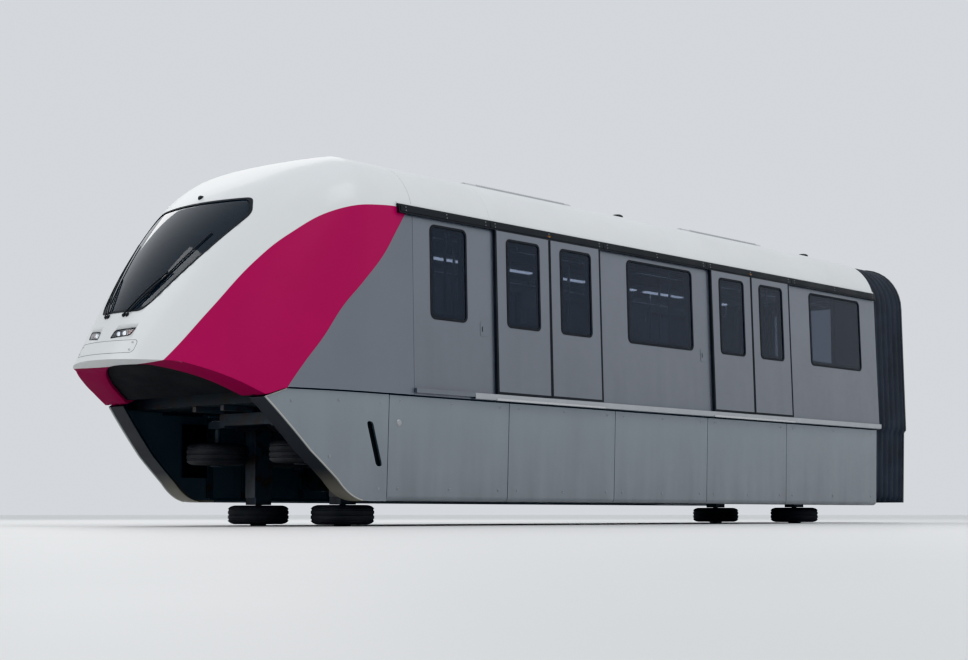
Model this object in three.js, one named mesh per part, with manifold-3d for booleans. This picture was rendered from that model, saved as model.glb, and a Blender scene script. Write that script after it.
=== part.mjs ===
import * as THREE from 'three';
import Module from 'manifold-3d';
import { mergeVertices } from 'three/addons/utils/BufferGeometryUtils.js';

// Driven end car of a straddle monorail train. Millimetres, +X forward, +Y left, +Z up.
// Inside the car group, X is measured forward from the car's rear face and Z up from the
// running top of the guideway beam; the group's place puts the origin on the floor, under
// the middle of the whole length.

// Driving dimensions
const bodyLength = 12950;
const gangwayLength = 880;
const beamTop = 1010;
const beamHalfWidth = 345;
const contactGap = 0.3;
const runnerGap = 0.5;
const overcut = 10;
const far = 20000;

const waistHeight = 370;
const floorTop = 450;
const floorBottom = 250;
const cantrailHeight = 2250;
const roofTop = 2930;
const waistHalfWidth = 1535;
const cantrailHalfWidth = 1490;
const shoulderRadius = roofTop - cantrailHeight;
const wallThickness = 80;
const maskThickness = 50;
const roofSplit = 2350;

const noseJoint = 9870;
const noseStart = 10500;
const noseTipHeight = 450;
const noseFall = 1.9;
const maskJointGap = 4;

const windowBottom = 1220;
const windowTop = 2230;
const doorwayTop = 2200;
const railBottom = 395;
const railTop = 445;
const trackBottom = 2300;
const trackTop = 2400;
const trackEnd = 10100;
const proudEdge = 38;
const leafGap = 6;
const leafThickness = 30;
const leafWidth = 949;
const leafMeeting = 6;
const doorwayHalfWidth = 800;

const skirtTop = 360;
const skirtBottom = -750;
const skirtHalfWidth = 1500;
const skirtThickness = 26;
const skirtFrontJoint = 10210;
const skirtLip = 130;

const bogieX = { rear: 1050, front: 10100 };
const tyreRadius = 500;
const tyreInner = 22;
const tyreOuter = 308;
const axleHeight = 500;
const guideRadius = 340;
const guideWidth = 240;
const guideSpacing = 600;
const guideZ = -230;
const stabiliserZ = -890;
const stabiliserWidth = 210;
const guideY = beamHalfWidth + guideRadius + 5;

// One row per side window: start and end along the car
const sideWindows = [
  { from: 9030, to: 9590 },
  { from: 4730, to: 6090 },
  { from: 460, to: 1840 },
];

// One row per roof air-conditioning unit, sunk in a tray of the roof
const roofUnits = [
  { name: 'rear', from: 1700, to: 3700 },
  { name: 'front', from: 6100, to: 8100 },
];
const roofUnitHalfWidth = 700;
const roofUnitRise = 110;
const roofUnitBevel = 90;
const roofUnitEdge = 30;
const roofUnitGap = 12;
const trayFloor = 2790;
const trayWall = 30;

// One row per doorway: its middle along the car
const doorways = [
  { name: 'front', middle: 7622 },
  { name: 'rear', middle: 3380 },
];

const sides = [
  { name: 'left', sign: 1 },
  { name: 'right', sign: -1 },
];

const paint = (color, roughness, metalness) =>
  new THREE.MeshStandardMaterial({ color, roughness, metalness });
const materials = {
  white: paint(0xdfe3e2, 0.35, 0.1),
  silver: paint(0x9da0a8, 0.4, 0.4),
  skirt: paint(0xa9b1b8, 0.4, 0.35),
  black: paint(0x15171a, 0.5, 0.1),
  glass: paint(0x0b1018, 0.1, 0.2),
  rubber: paint(0x14181d, 0.85, 0),
  tyre: paint(0x141414, 0.9, 0),
  steel: paint(0x50555a, 0.5, 0.7),
  interior: paint(0xb8bcc0, 0.6, 0.05),
  seat: paint(0x7a2b55, 0.6, 0),
  lamp: paint(0xe9f0f4, 0.15, 0.1),
};

const wasm = await Module();
wasm.setup();

const enclosedVolume = (points, index) => {
  const corners = [new THREE.Vector3(), new THREE.Vector3(), new THREE.Vector3()];
  let volume = 0;
  for (let face = 0; face < index.length; face += 3) {
    corners.forEach((corner, k) => corner.fromArray(points, index[face + k] * 3));
    volume += corners[0].dot(corners[1].clone().cross(corners[2])) / 6;
  }
  return volume;
};
const solid = (geometry) => {
  const plain = geometry.clone();
  plain.deleteAttribute('normal');
  plain.deleteAttribute('uv');
  const merged = mergeVertices(plain, 1e-3);
  const points = new Float32Array(merged.attributes.position.array);
  const index = new Uint32Array(merged.index.array);
  if (enclosedVolume(points, index) < 0) index.reverse();
  return new wasm.Manifold(new wasm.Mesh({ numProp: 3, vertProperties: points, triVerts: index }));
};

const geometryOf = (body) => {
  const mesh = body.getMesh();
  const geometry = new THREE.BufferGeometry();
  geometry.setAttribute('position', new THREE.BufferAttribute(mesh.vertProperties, 3));
  geometry.setIndex(new THREE.BufferAttribute(mesh.triVerts, 1));
  geometry.computeVertexNormals();
  return geometry;
};

const join = (...bodies) => bodies.reduce((whole, body) => whole.add(body));
const cut = (body, ...tools) => tools.reduce((rest, tool) => rest.subtract(tool), body);

// Axis frames that turn a drawn outline and its depth into the car's axes
const alongXFrame = new THREE.Matrix4().makeBasis(
  new THREE.Vector3(0, 1, 0), new THREE.Vector3(0, 0, 1), new THREE.Vector3(1, 0, 0));
const alongYFrame = new THREE.Matrix4().makeBasis(
  new THREE.Vector3(1, 0, 0), new THREE.Vector3(0, 0, 1), new THREE.Vector3(0, -1, 0));

const extrude = (shape, depth, curveSegments) =>
  new THREE.ExtrudeGeometry(shape, { depth, bevelEnabled: false, curveSegments });
const outline = (points) => new THREE.Shape(points.map(([a, b]) => new THREE.Vector2(a, b)));

// Outline in (y, z), swept from one X to another
const alongX = (shape, from, to, segments = 6) =>
  solid(extrude(shape, to - from, segments).applyMatrix4(alongXFrame).translate(from, 0, 0));
// Outline in (x, z), swept from one Y to another
const alongY = (shape, from, to, segments = 3) =>
  solid(extrude(shape, to - from, segments).applyMatrix4(alongYFrame).translate(0, to, 0));

const block = (x0, x1, y0, y1, z0, z1) =>
  solid(new THREE.BoxGeometry(x1 - x0, y1 - y0, z1 - z0)
    .translate((x0 + x1) / 2, (y0 + y1) / 2, (z0 + z1) / 2));

const roundedRect = (x0, x1, y0, y1, r) => {
  const shape = new THREE.Shape();
  shape.moveTo(x0 + r, y0);
  shape.lineTo(x1 - r, y0);
  shape.absarc(x1 - r, y0 + r, r, -Math.PI / 2, 0);
  shape.lineTo(x1, y1 - r);
  shape.absarc(x1 - r, y1 - r, r, 0, Math.PI / 2);
  shape.lineTo(x0 + r, y1);
  shape.absarc(x0 + r, y1 - r, r, Math.PI / 2, Math.PI);
  shape.lineTo(x0, y0 + r);
  shape.absarc(x0 + r, y0 + r, r, Math.PI, Math.PI * 1.5);
  return shape;
};

const drum = (axis, radius, from, to, at, segments = 32) => {
  const geometry = new THREE.CylinderGeometry(radius, radius, to - from, segments)
    .translate(0, (from + to) / 2, 0);
  if (axis === 'z') geometry.rotateX(Math.PI / 2);
  if (axis === 'x') geometry.rotateZ(-Math.PI / 2);
  return solid(geometry.translate(at[0], at[1], at[2]));
};

// Rings of points, all with the same count, skinned and closed with a fan at both ends. A ring
// runs up the left side and down the right, and the diagonals of the two sides mirror each other.
const loft = (rings) => {
  const count = rings[0].length;
  const positions = rings.flat().flatMap((point) => point);
  const index = [];
  for (let ring = 0; ring < rings.length - 1; ring += 1) {
    for (let step = 0; step < count; step += 1) {
      const a = ring * count + step;
      const b = ring * count + (step + 1) % count;
      if (step < Math.floor(count / 2)) index.push(a, b, b + count, a, b + count, a + count);
      else index.push(a, b, a + count, b, b + count, a + count);
    }
  }
  const centreOf = (ring) => [0, 1, 2].map((k) => ring.reduce((sum, p) => sum + p[k], 0) / count);
  const firstCentre = positions.length / 3;
  positions.push(...centreOf(rings[0]), ...centreOf(rings[rings.length - 1]));
  const last = (rings.length - 1) * count;
  for (let step = 0; step < count; step += 1) {
    const next = (step + 1) % count;
    index.push(firstCentre, next, step, firstCentre + 1, last + step, last + next);
  }
  const geometry = new THREE.BufferGeometry();
  geometry.setAttribute('position', new THREE.Float32BufferAttribute(positions, 3));
  geometry.setIndex(index);
  return solid(geometry);
};

// Car body section: wall line, shoulder arc and flat roof, moved in by an inset
const wallY = (z) => {
  const along = (z - waistHeight) / (cantrailHeight - waistHeight);
  return waistHalfWidth + (cantrailHalfWidth - waistHalfWidth) * along;
};
const sideY = (z, inset = 0) => {
  if (z <= cantrailHeight) return wallY(z) - inset;
  const rise = z - cantrailHeight;
  const reach = shoulderRadius - inset;
  return cantrailHalfWidth - shoulderRadius + Math.sqrt(Math.max(reach * reach - rise * rise, 0));
};
const bodySection = (inset, bottom) => {
  const shape = new THREE.Shape();
  const centreY = cantrailHalfWidth - shoulderRadius;
  const radius = shoulderRadius - inset;
  shape.moveTo(-wallY(bottom) + inset, bottom);
  shape.lineTo(wallY(bottom) - inset, bottom);
  shape.lineTo(centreY + radius, cantrailHeight);
  shape.absarc(centreY, cantrailHeight, radius, 0, Math.PI / 2);
  shape.absarc(-centreY, cantrailHeight, radius, Math.PI / 2, Math.PI);
  return shape;
};

// Nose: the roof falls along a power curve to the tip, and each level is an ellipse in plan
const tipBluntness = 2;
const noseReach = bodyLength + tipBluntness - noseStart;
const noseDrop = roofTop - noseTipHeight;
const noseTop = (x, inset) => {
  const along = Math.max(x - noseStart, 0) / (noseReach - inset);
  return roofTop - inset - (noseDrop - inset) * along ** noseFall;
};
const noseFront = (z, inset) => {
  const fall = Math.min(Math.max((roofTop - inset - z) / (noseDrop - inset), 0), 1);
  return (noseReach - inset) * fall ** (1 / noseFall);
};
const noseY = (x, z, inset, sideAt) => {
  const width = sideAt(z, inset);
  const front = noseFront(z, inset);
  const along = Math.max(x - noseStart, 0);
  if (along === 0) return width;
  return width * Math.sqrt(Math.max(1 - (along / front) ** 2, 0));
};
const noseStations = [0, 0.08, 0.2, 0.32, 0.44, 0.56, 0.67, 0.77, 0.86, 0.93, 0.975, 1];
const noseLevels = 14;
const noseBottom = 100;
const noseRing = (x, bottom, inset, sideAt) => {
  const top = noseTop(x, inset);
  const half = [];
  for (let level = 0; level <= noseLevels; level += 1) {
    const rise = Math.sin((level / noseLevels) * Math.PI / 2);
    const z = bottom + (top - bottom) * rise;
    half.push([x, level === noseLevels ? 0 : noseY(x, z, inset, sideAt), z]);
  }
  const mirrored = half.map(([px, y, z]) => [px, -y, z]).reverse();
  mirrored.shift();
  return [...half, ...mirrored];
};
const noseSolid = (bottom, inset, sideAt = sideY) => {
  const reach = noseReach - inset - tipBluntness;
  const rings = noseStations.map((share) => {
    const x = noseStart + 1 + (reach - 1) * share;
    return noseRing(x, bottom, inset, sideAt);
  });
  const straight = alongX(bodySection(inset, bottom), noseJoint - 200, noseStart + 1.01);
  return join(loft(rings), straight);
};

const car = new THREE.Group();
car.name = 'monorail_car';
car.position.set(-(bodyLength - gangwayLength) / 2, 0, beamTop);

const add = (name, body, material, parent = car) => {
  const mesh = new THREE.Mesh(geometryOf(body), material);
  mesh.name = name;
  parent.add(mesh);
  return mesh;
};

const mirrorY = (body) => {
  const mesh = body.getMesh();
  const points = Float32Array.from(mesh.vertProperties, (value, k) => (k % 3 === 1 ? -value : value));
  const index = Uint32Array.from(mesh.triVerts).reverse();
  return new wasm.Manifold(new wasm.Mesh({ numProp: 3, vertProperties: points, triVerts: index }));
};
const onSide = (body, sign) => (sign > 0 ? body : mirrorY(body));
const slab = (z0, z1) => block(-far, far, -far, far, z0, z1);
const leftHalf = block(-far, far, 1, far, -far, far);

// Body shell: one tube of wall, parted at the roof split into a roof and two side walls
const frontEdge = noseJoint - maskJointGap;
const tube = cut(
  alongX(bodySection(0, waistHeight), 0, frontEdge),
  alongX(bodySection(wallThickness, waistHeight - overcut), -overcut, frontEdge + overcut));
const trays = roofUnits.map(({ from, to }) => ({
  box: block(from - trayWall, to + trayWall, -roofUnitHalfWidth - trayWall, roofUnitHalfWidth + trayWall,
    trayFloor - trayWall, roofTop),
  space: block(from, to, -roofUnitHalfWidth, roofUnitHalfWidth, trayFloor, roofTop + overcut),
}));
add('roof', cut(
  join(tube.intersect(slab(roofSplit, far)), ...trays.map(({ box }) => box)),
  ...trays.map(({ space }) => space)), materials.white);
const unitHalf = roofUnitHalfWidth - roofUnitGap;
const roofUnitProfile = outline([
  [-unitHalf, trayFloor + contactGap], [unitHalf, trayFloor + contactGap],
  [unitHalf, roofTop + roofUnitEdge], [unitHalf - roofUnitBevel, roofTop + roofUnitRise],
  [roofUnitBevel - unitHalf, roofTop + roofUnitRise], [-unitHalf, roofTop + roofUnitEdge]]);
for (const { name, from, to } of roofUnits) {
  const unit = alongX(roofUnitProfile, from + roofUnitGap, to - roofUnitGap);
  add(`roof_unit_${name}`, unit, materials.skirt);
}

const wallStrip = (z0, z1, near, out) => outline([
  [wallY(z0) + near, z0], [wallY(z0) + out, z0], [wallY(z1) + out, z1], [wallY(z1) + near, z1]]);
const railRoot = 20;
const windowCorner = 60;
const insideWall = 1000;
const outsideWall = 2000;
const sideWall = () => {
  const rail = alongX(wallStrip(railBottom, railTop, -railRoot, proudEdge), 0, frontEdge);
  const panel = tube.intersect(leftHalf).intersect(slab(-far, roofSplit - contactGap));
  const openings = [
    ...sideWindows.map(({ from, to }) =>
      alongY(roundedRect(from, to, windowBottom, windowTop, windowCorner), insideWall, outsideWall)),
    ...doorways.map(({ middle }) => block(
      middle - doorwayHalfWidth, middle + doorwayHalfWidth, insideWall, outsideWall, floorTop, doorwayTop)),
  ];
  return cut(join(panel, rail), ...openings);
};
const leftWall = sideWall();
for (const { name, sign } of sides) {
  add(`side_wall_${name}`, onSide(leftWall, sign), materials.silver);
}

// Door track: a hooded rail above the doors, on the wall's face
const trackRoot = 1400;
const hoodReach = proudEdge + 2;
const hoodTopReach = 24;
const trackBlank = alongX(outline([
  [trackRoot, trackBottom], [wallY(trackBottom) + hoodReach, trackBottom],
  [wallY(trackTop) + hoodTopReach, trackTop], [trackRoot, trackTop]]), 0, trackEnd);
const track = cut(trackBlank, alongX(
  bodySection(-contactGap, waistHeight), -overcut, trackEnd + overcut));
for (const { name, sign } of sides) add(`door_track_${name}`, onSide(track, sign), materials.black);

// Floor with a raised housing over each bogie's wheels
const wellHalfWidth = 600;
const wellShort = 820;
const wellLong = 1080;
const wellTop = 1080;
const housingWall = 40;
const wells = [
  { name: 'rear', from: bogieX.rear - wellShort, to: bogieX.rear + wellLong },
  { name: 'front', from: bogieX.front - wellLong, to: bogieX.front + wellShort },
];
const floorFront = 11450;
const floorLap = 5;
const sillInset = 110;
const maskFoot = waistHeight + 3;
const floorSlab = join(
  alongX(bodySection(wallThickness + contactGap, floorBottom), 0, frontEdge + floorLap),
  noseSolid(noseBottom, maskThickness + contactGap).intersect(
    block(frontEdge, floorFront, -far, far, maskFoot, far)),
  noseSolid(noseBottom, sillInset).intersect(
    block(frontEdge, floorFront, -far, far, -far, maskFoot + 1)),
).intersect(slab(floorBottom, floorTop));
const wellSpaces = wells.map(({ from, to }) =>
  block(from, to, -wellHalfWidth, wellHalfWidth, floorBottom - overcut, wellTop));
add('saloon_floor', cut(floorSlab, ...wellSpaces), materials.interior);
wells.forEach(({ name, from, to }, k) => {
  const shell = block(
    from - housingWall, to + housingWall, -wellHalfWidth - housingWall, wellHalfWidth + housingWall,
    floorTop + contactGap, wellTop + housingWall);
  add(`wheel_housing_${name}`, cut(shell, wellSpaces[k]), materials.interior);
});

const endWallThickness = 80;
const ceilingBottom = 2400;
const ceilingTop = 2440;
const ceilingGap = 6;
const ceiling = alongX(
  bodySection(wallThickness + contactGap, waistHeight), endWallThickness + 1, frontEdge - ceilingGap)
  .intersect(slab(ceilingBottom, ceilingTop));
add('ceiling_panel', ceiling, materials.interior);

const passageHalfWidth = 800;
const passageTop = 2350;
const passageCorner = 120;
const endWall = alongX(
  bodySection(wallThickness + contactGap, floorTop + contactGap), 0, endWallThickness)
  .intersect(slab(floorTop + contactGap, far));
add('rear_end_wall', cut(endWall, alongX(
  roundedRect(-passageHalfWidth, passageHalfWidth, 0, passageTop, passageCorner),
  -overcut, endWallThickness + overcut, 3)), materials.interior);

// Nose mask with its turned-under chin, windscreen and headlamps
const chinDepth = 360;
const chinThickness = 40;
const chinRear = 11560;
const aheadOfNose = 13100;
const aboveRoof = 3100;
// Lower edge of the mask seen from the side: X and Z from the joint to the tip
const maskEdge = [
  [noseJoint, 372], [11520, 372], [11740, 290], [11980, 410], [12190, 500], [12450, 600],
  [aheadOfNose, 650]];
const maskOuter = noseSolid(noseBottom, 0);
const maskInner = noseSolid(noseBottom, maskThickness);
const aboveEdge = (lift) => alongY(outline([
  ...maskEdge.map(([x, z]) => [x, z + lift]), [aheadOfNose, aboveRoof], [noseJoint, aboveRoof]]),
-far, far);
const chin = cut(maskOuter, noseSolid(noseBottom, chinDepth))
  .intersect(cut(aboveEdge(0), aboveEdge(chinThickness)))
  .intersect(block(chinRear, far, -far, far, -far, far));
// Windscreen seen from the front: half width and Z of its corners, and which way an inset moves them
const screenCorners = [
  { y: 310, z: 1140, rise: 1 },
  { y: 390, z: 1220, rise: 0 },
  { y: 860, z: 2180, rise: 0 },
  { y: 750, z: 2360, rise: -1 },
];
const screenPrism = (inset) => {
  const left = screenCorners.map(({ y, z, rise }) => [y - inset, z + rise * inset]);
  const right = left.map(([y, z]) => [-y, z]).reverse();
  return alongX(outline([...left, ...right]), noseStart + 200, aheadOfNose);
};
const lampPrism = (inset) => alongX(outline([
  [100 + inset, 850 + inset], [345 - inset, 870 + inset],
  [375 - inset, 955 - inset], [120 + inset, 935 - inset]]), chinRear, aheadOfNose);
const mask = cut(
  join(cut(maskOuter, maskInner).intersect(aboveEdge(0)), chin),
  screenPrism(0), lampPrism(0), mirrorY(lampPrism(0)));
add('nose_mask', mask, materials.white);

const glassInset = 6;
const glassThickness = 20;
const glazing = cut(noseSolid(noseBottom, glassInset), noseSolid(noseBottom, glassInset + glassThickness));
add('windscreen', glazing.intersect(screenPrism(contactGap)), materials.glass);
const lampInset = 4;
const lampDepth = 90;
const lampShell = cut(noseSolid(noseBottom, lampInset), noseSolid(noseBottom, lampDepth));
const lamp = lampShell.intersect(lampPrism(contactGap));
for (const { name, sign } of sides) add(`headlamp_${name}`, onSide(lamp, sign), materials.lamp);
const underpanThickness = 25;
const chinTop = chinThickness + contactGap;
add('nose_underpan', cut(aboveEdge(chinTop), aboveEdge(chinTop + underpanThickness))
  .intersect(noseSolid(noseBottom, maskThickness + contactGap))
  .intersect(block(chinRear, far, -far, far, -far, far)), materials.black);

// Skirts: long side skirts with a turned-in lip, and deep front skirts that follow the nose
const skirtLean = 0.03;
const skirtY = (z, inset = 0) => skirtHalfWidth - (skirtTop - z) * skirtLean - inset;
const lipRadius = 60;
const flangeY = 1300;
const flangeBottom = 225;
const skirtProfile = () => {
  const bottomY = skirtY(skirtBottom);
  const shape = new THREE.Shape();
  shape.moveTo(skirtY(skirtTop), skirtTop);
  shape.lineTo(skirtY(skirtTop) - skirtThickness, skirtTop);
  shape.lineTo(skirtY(floorBottom) - skirtThickness, floorBottom - contactGap);
  shape.lineTo(flangeY, floorBottom - contactGap);
  shape.lineTo(flangeY, flangeBottom);
  shape.lineTo(skirtY(flangeBottom) - skirtThickness, flangeBottom);
  shape.lineTo(bottomY - skirtThickness, skirtBottom + lipRadius);
  shape.absarc(
    bottomY - lipRadius, skirtBottom + lipRadius, lipRadius - skirtThickness, 0, -Math.PI / 2, true);
  shape.lineTo(bottomY - skirtLip, skirtBottom + skirtThickness);
  shape.lineTo(bottomY - skirtLip, skirtBottom);
  shape.lineTo(bottomY - lipRadius, skirtBottom);
  shape.absarc(bottomY - lipRadius, skirtBottom + lipRadius, lipRadius, -Math.PI / 2, 0, false);
  return shape;
};
const panelJoints = [2500, 4400, 6350, 8300];
const grooveDepth = 12;
const grooveHalfWidth = 5;
const grooveSection = outline([
  [skirtY(skirtTop) - grooveDepth, skirtTop], [skirtY(skirtTop) + overcut, skirtTop + overcut],
  [skirtY(skirtTop) + overcut, skirtBottom - overcut], [skirtY(skirtBottom) - grooveDepth, skirtBottom]]);
const grooves = panelJoints.map((x) =>
  alongX(grooveSection, x - grooveHalfWidth, x + grooveHalfWidth));
const skirtRear = 20;
const skirtJointGap = 6;
const sideSkirt = cut(
  alongX(skirtProfile(), skirtRear, skirtFrontJoint - skirtJointGap), ...grooves);
for (const { name, sign } of sides) {
  add(`side_skirt_${name}`, onSide(sideSkirt, sign), materials.skirt);
}

const belowSkirt = skirtBottom - 50;
const skirtSolid = (inset) => {
  const reach = noseReach - inset - tipBluntness;
  const rings = noseStations.slice(0, -2).map((share) => {
    const x = noseStart + 1 + (reach - 1) * share;
    const low = [x, noseY(x, belowSkirt, inset, skirtY), belowSkirt];
    const high = [x, noseY(x, skirtTop, inset, skirtY), skirtTop];
    return [low, high, [x, -high[1], high[2]], [x, -low[1], low[2]]];
  });
  const yLow = skirtY(belowSkirt, inset);
  const yHigh = skirtY(skirtTop, inset);
  return join(loft(rings), alongX(outline([
    [-yLow, belowSkirt], [yLow, belowSkirt], [yHigh, skirtTop], [-yHigh, skirtTop]]),
  noseJoint, noseStart + 1.01));
};
// Leading edge of the front skirt seen from the side, from its top to where the lip's curve starts
const skirtLead = [[11510, skirtTop], [11725, 275], [11220, -250], [10880, -540]];
const lipCurve = { corner: 10700, end: 10450 };
const skirtSide = (shift) => {
  const shape = new THREE.Shape();
  shape.moveTo(skirtFrontJoint, skirtTop);
  for (const [x, z] of skirtLead) shape.lineTo(x - shift, z);
  shape.quadraticCurveTo(
    lipCurve.corner - shift, skirtBottom + shift, lipCurve.end - shift, skirtBottom + shift);
  shape.lineTo(skirtFrontJoint, skirtBottom + shift);
  return alongY(shape, -far, far, 5);
};
const skirtSlot = alongY(outline([
  [10425, 110], [10455, 110], [10295, -350], [10265, -350]]), 1400, 1600);
const returnDepth = 250;
const returnThickness = 36;
const hangerFrom = 10400;
const hangerTo = 10900;
const frontSkirt = () => {
  const outer = skirtSolid(0);
  const shell = cut(outer, skirtSolid(skirtThickness));
  const edge = cut(cut(outer, skirtSolid(returnDepth)), skirtSide(returnThickness));
  const lip = cut(outer, skirtSolid(skirtLip))
    .intersect(slab(skirtBottom, skirtBottom + skirtThickness));
  const hanger = block(
    hangerFrom, hangerTo, flangeY, skirtHalfWidth - 10, flangeBottom, floorBottom - contactGap);
  const panel = join(shell, edge, lip).intersect(skirtSide(0));
  return cut(join(panel, hanger.intersect(skirtSolid(10))), skirtSlot).intersect(leftHalf);
};
const leftFrontSkirt = frontSkirt();
for (const { name, sign } of sides) {
  add(`front_skirt_${name}`, onSide(leftFrontSkirt, sign), materials.skirt);
}

// Sliding door leaves, hung outside the wall between the track and the waist rail
const leafOutline = wallStrip(
  railTop + runnerGap, trackBottom - runnerGap, leafGap, leafGap + leafThickness);
const paneHalfWidth = 280;
const paneTop = windowTop - 20;
const paneCorner = 50;
for (const { name: side, sign } of sides) {
  for (const { name: doorway, middle } of doorways) {
    for (const [leaf, direction] of [['fore', 1], ['aft', -1]]) {
      const near = middle + direction * leafMeeting / 2;
      const end = near + direction * leafWidth;
      const panel = alongX(leafOutline, Math.min(near, end), Math.max(near, end));
      const windowMiddle = (near + end) / 2;
      const pane = alongY(roundedRect(
        windowMiddle - paneHalfWidth, windowMiddle + paneHalfWidth, windowBottom, paneTop, paneCorner),
      insideWall, outsideWall);
      add(`door_${side}_${doorway}_${leaf}`, onSide(cut(panel, pane), sign), materials.silver);
    }
  }
}

// Seats, desk and underfloor cases
const seatProfile = outline([
  [1000, floorTop + contactGap], [1430, floorTop + contactGap], [1430, 1190], [1370, 1190],
  [1350, 900], [980, 900], [980, 840], [1060, 800]]);
const benches = [{ name: 'middle', from: 4650, to: 6150 }, { name: 'rear', from: 300, to: 2050 }];
for (const { name: side, sign } of sides) {
  for (const { name, from, to } of benches) {
    add(`seat_${side}_${name}`, onSide(alongX(seatProfile, from, to), sign), materials.seat);
  }
}
const deskHalfWidth = 880;
const deskProfile = outline([
  [11100, floorTop + contactGap], [11440, floorTop + contactGap], [11620, 900], [11350, 1100],
  [11100, 1060]]);
add('front_desk', alongY(deskProfile, -deskHalfWidth, deskHalfWidth), materials.interior);

const caseProfile = outline([
  [520, 160], [600, floorBottom - contactGap], [1250, floorBottom - contactGap], [1380, 180],
  [1380, -520], [1300, -600], [520, -600]]);
const caseFrom = 2450;
const caseTo = 8750;
for (const { name, sign } of sides) {
  add(`equipment_case_${name}`, onSide(alongX(caseProfile, caseFrom, caseTo), sign), materials.black);
}

// Gangway: bellows, end frame, bridge plate and drawbar
const gangwaySection = (inset) => {
  const centreY = cantrailHalfWidth - shoulderRadius;
  const radius = shoulderRadius - inset;
  const shape = new THREE.Shape();
  shape.moveTo(620, -720 + inset);
  shape.lineTo(1440 - inset, -720 + inset);
  shape.lineTo(1480 - inset, 350);
  shape.lineTo(1515 - inset, 390);
  shape.lineTo(centreY + radius, cantrailHeight);
  shape.absarc(centreY, cantrailHeight, radius, 0, Math.PI / 2);
  shape.absarc(-centreY, cantrailHeight, radius, Math.PI / 2, Math.PI);
  shape.lineTo(-1515 + inset, 390);
  shape.lineTo(-1480 + inset, 350);
  shape.lineTo(-1440 + inset, -720 + inset);
  shape.lineTo(-620, -720 + inset);
  shape.lineTo(-620, 240);
  shape.lineTo(620, 240);
  return shape;
};
const passage = (from, to) => alongX(
  roundedRect(-passageHalfWidth, passageHalfWidth, railBottom, passageTop, 100), from, to, 3);
const foldCount = 6;
const endFrameThickness = 30;
const bellowsFrom = -gangwayLength + endFrameThickness + contactGap;
const foldPitch = (-contactGap - bellowsFrom) / (foldCount * 2 - 1);
const folds = Array.from({ length: foldCount * 2 - 1 }, (_, fold) => {
  const from = bellowsFrom + fold * foldPitch;
  return alongX(gangwaySection(fold % 2 ? 75 : 30), from - (fold ? 0.5 : 0), from + foldPitch, 4);
});
const bellows = cut(join(...folds), passage(-1000, 100));
add('gangway_bellows', bellows, materials.rubber);
add('gangway_end_frame', cut(
  alongX(gangwaySection(15), -gangwayLength, -gangwayLength + endFrameThickness, 5),
  passage(-1000, 100)), materials.steel);
add('gangway_bridge', block(-gangwayLength + 10, -contactGap, -700, 700, 396, floorTop), materials.steel);
const drawbar = join(
  block(-gangwayLength, -gangwayLength + 30, -140, 140, 30, 235),
  drum('x', 55, -gangwayLength + 20, 120, [0, 0, 140], 12),
  block(70, 190, -150, 150, 80, floorBottom - contactGap));
add('drawbar', drawbar, materials.steel);

// Bogies: each straddles the beam, with twin load tyres above it and side tyres along it
const spin = (profile, segments) => solid(new THREE.LatheGeometry(
  profile.map(([r, h]) => new THREE.Vector2(r, h)), segments));
const pinRadius = 35;
const boreRadius = 36;
const wheelProfile = (width) => {
  const half = width / 2;
  const side = [[boreRadius, half], [190, half], [320, half - 12], [guideRadius, half - 50]];
  const lower = side.map(([r, h]) => [r, -h]).reverse();
  return [...side, ...lower, side[0]];
};
const sideWheel = (width) => solid(new THREE.LatheGeometry(
  wheelProfile(width).map(([r, h]) => new THREE.Vector2(r, h)), 20).rotateX(Math.PI / 2));
const wheelsetProfile = () => {
  const half = [[0, 462], [60, 462], [60, 330], [290, 305], [470, tyreOuter], [tyreRadius, tyreOuter - 33],
    [tyreRadius, tyreInner + 33], [470, tyreInner], [300, tyreInner], [300, 0]];
  const lower = half.slice(0, -1).map(([r, h]) => [r, -h]).reverse();
  return [...half, ...lower];
};
const bogieFrame = () => {
  const pedestal = alongY(outline([
    [-330, 100], [330, 100], [200, 600], [-200, 600]]), 380, 470);
  const longeron = block(-760, 950, 380, 470, 50, 200);
  const armGuide = [-guideSpacing, guideSpacing].map((x) => join(
    block(x - 70, x + 70, 460, guideY + 80, 50, 130),
    drum('z', pinRadius, guideZ - guideWidth / 2 - 4, 60, [x, guideY, 0], 12),
    drum('z', 80, guideZ - guideWidth / 2 - 14, guideZ - guideWidth / 2 - 0.5, [x, guideY, 0], 12)));
  const armLeg = join(
    block(-110, 110, 460, 980, 50, 120),
    block(-110, 110, guideY - 90, guideY + 90, stabiliserZ + stabiliserWidth / 2 + 5, 60),
    drum('z', pinRadius, -beamTop, stabiliserZ + 140, [0, guideY, 0], 12),
    drum('z', 90, -beamTop, stabiliserZ - stabiliserWidth / 2 - 0.5, [0, guideY, 0], 12),
    drum('z', 165, 110, floorBottom - contactGap, [0, 800, 0], 16));
  const half = join(cut(join(pedestal, longeron), drum('y', 60.8, 370, 480, [0, 0, axleHeight], 24)),
    ...armGuide, armLeg);
  const beams = join(block(-760, -620, -390, 390, 70, 200), block(810, 950, -390, 390, 70, 200));
  return join(half, mirrorY(half), beams);
};
const motorBody = join(
  drum('y', 165, -320, 320, [725, 0, 200 + 175], 20),
  block(600, 850, -375, 375, 200 + contactGap, 235));
const frameBody = bogieFrame();
const wheelset = spin(wheelsetProfile(), 24);
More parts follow.
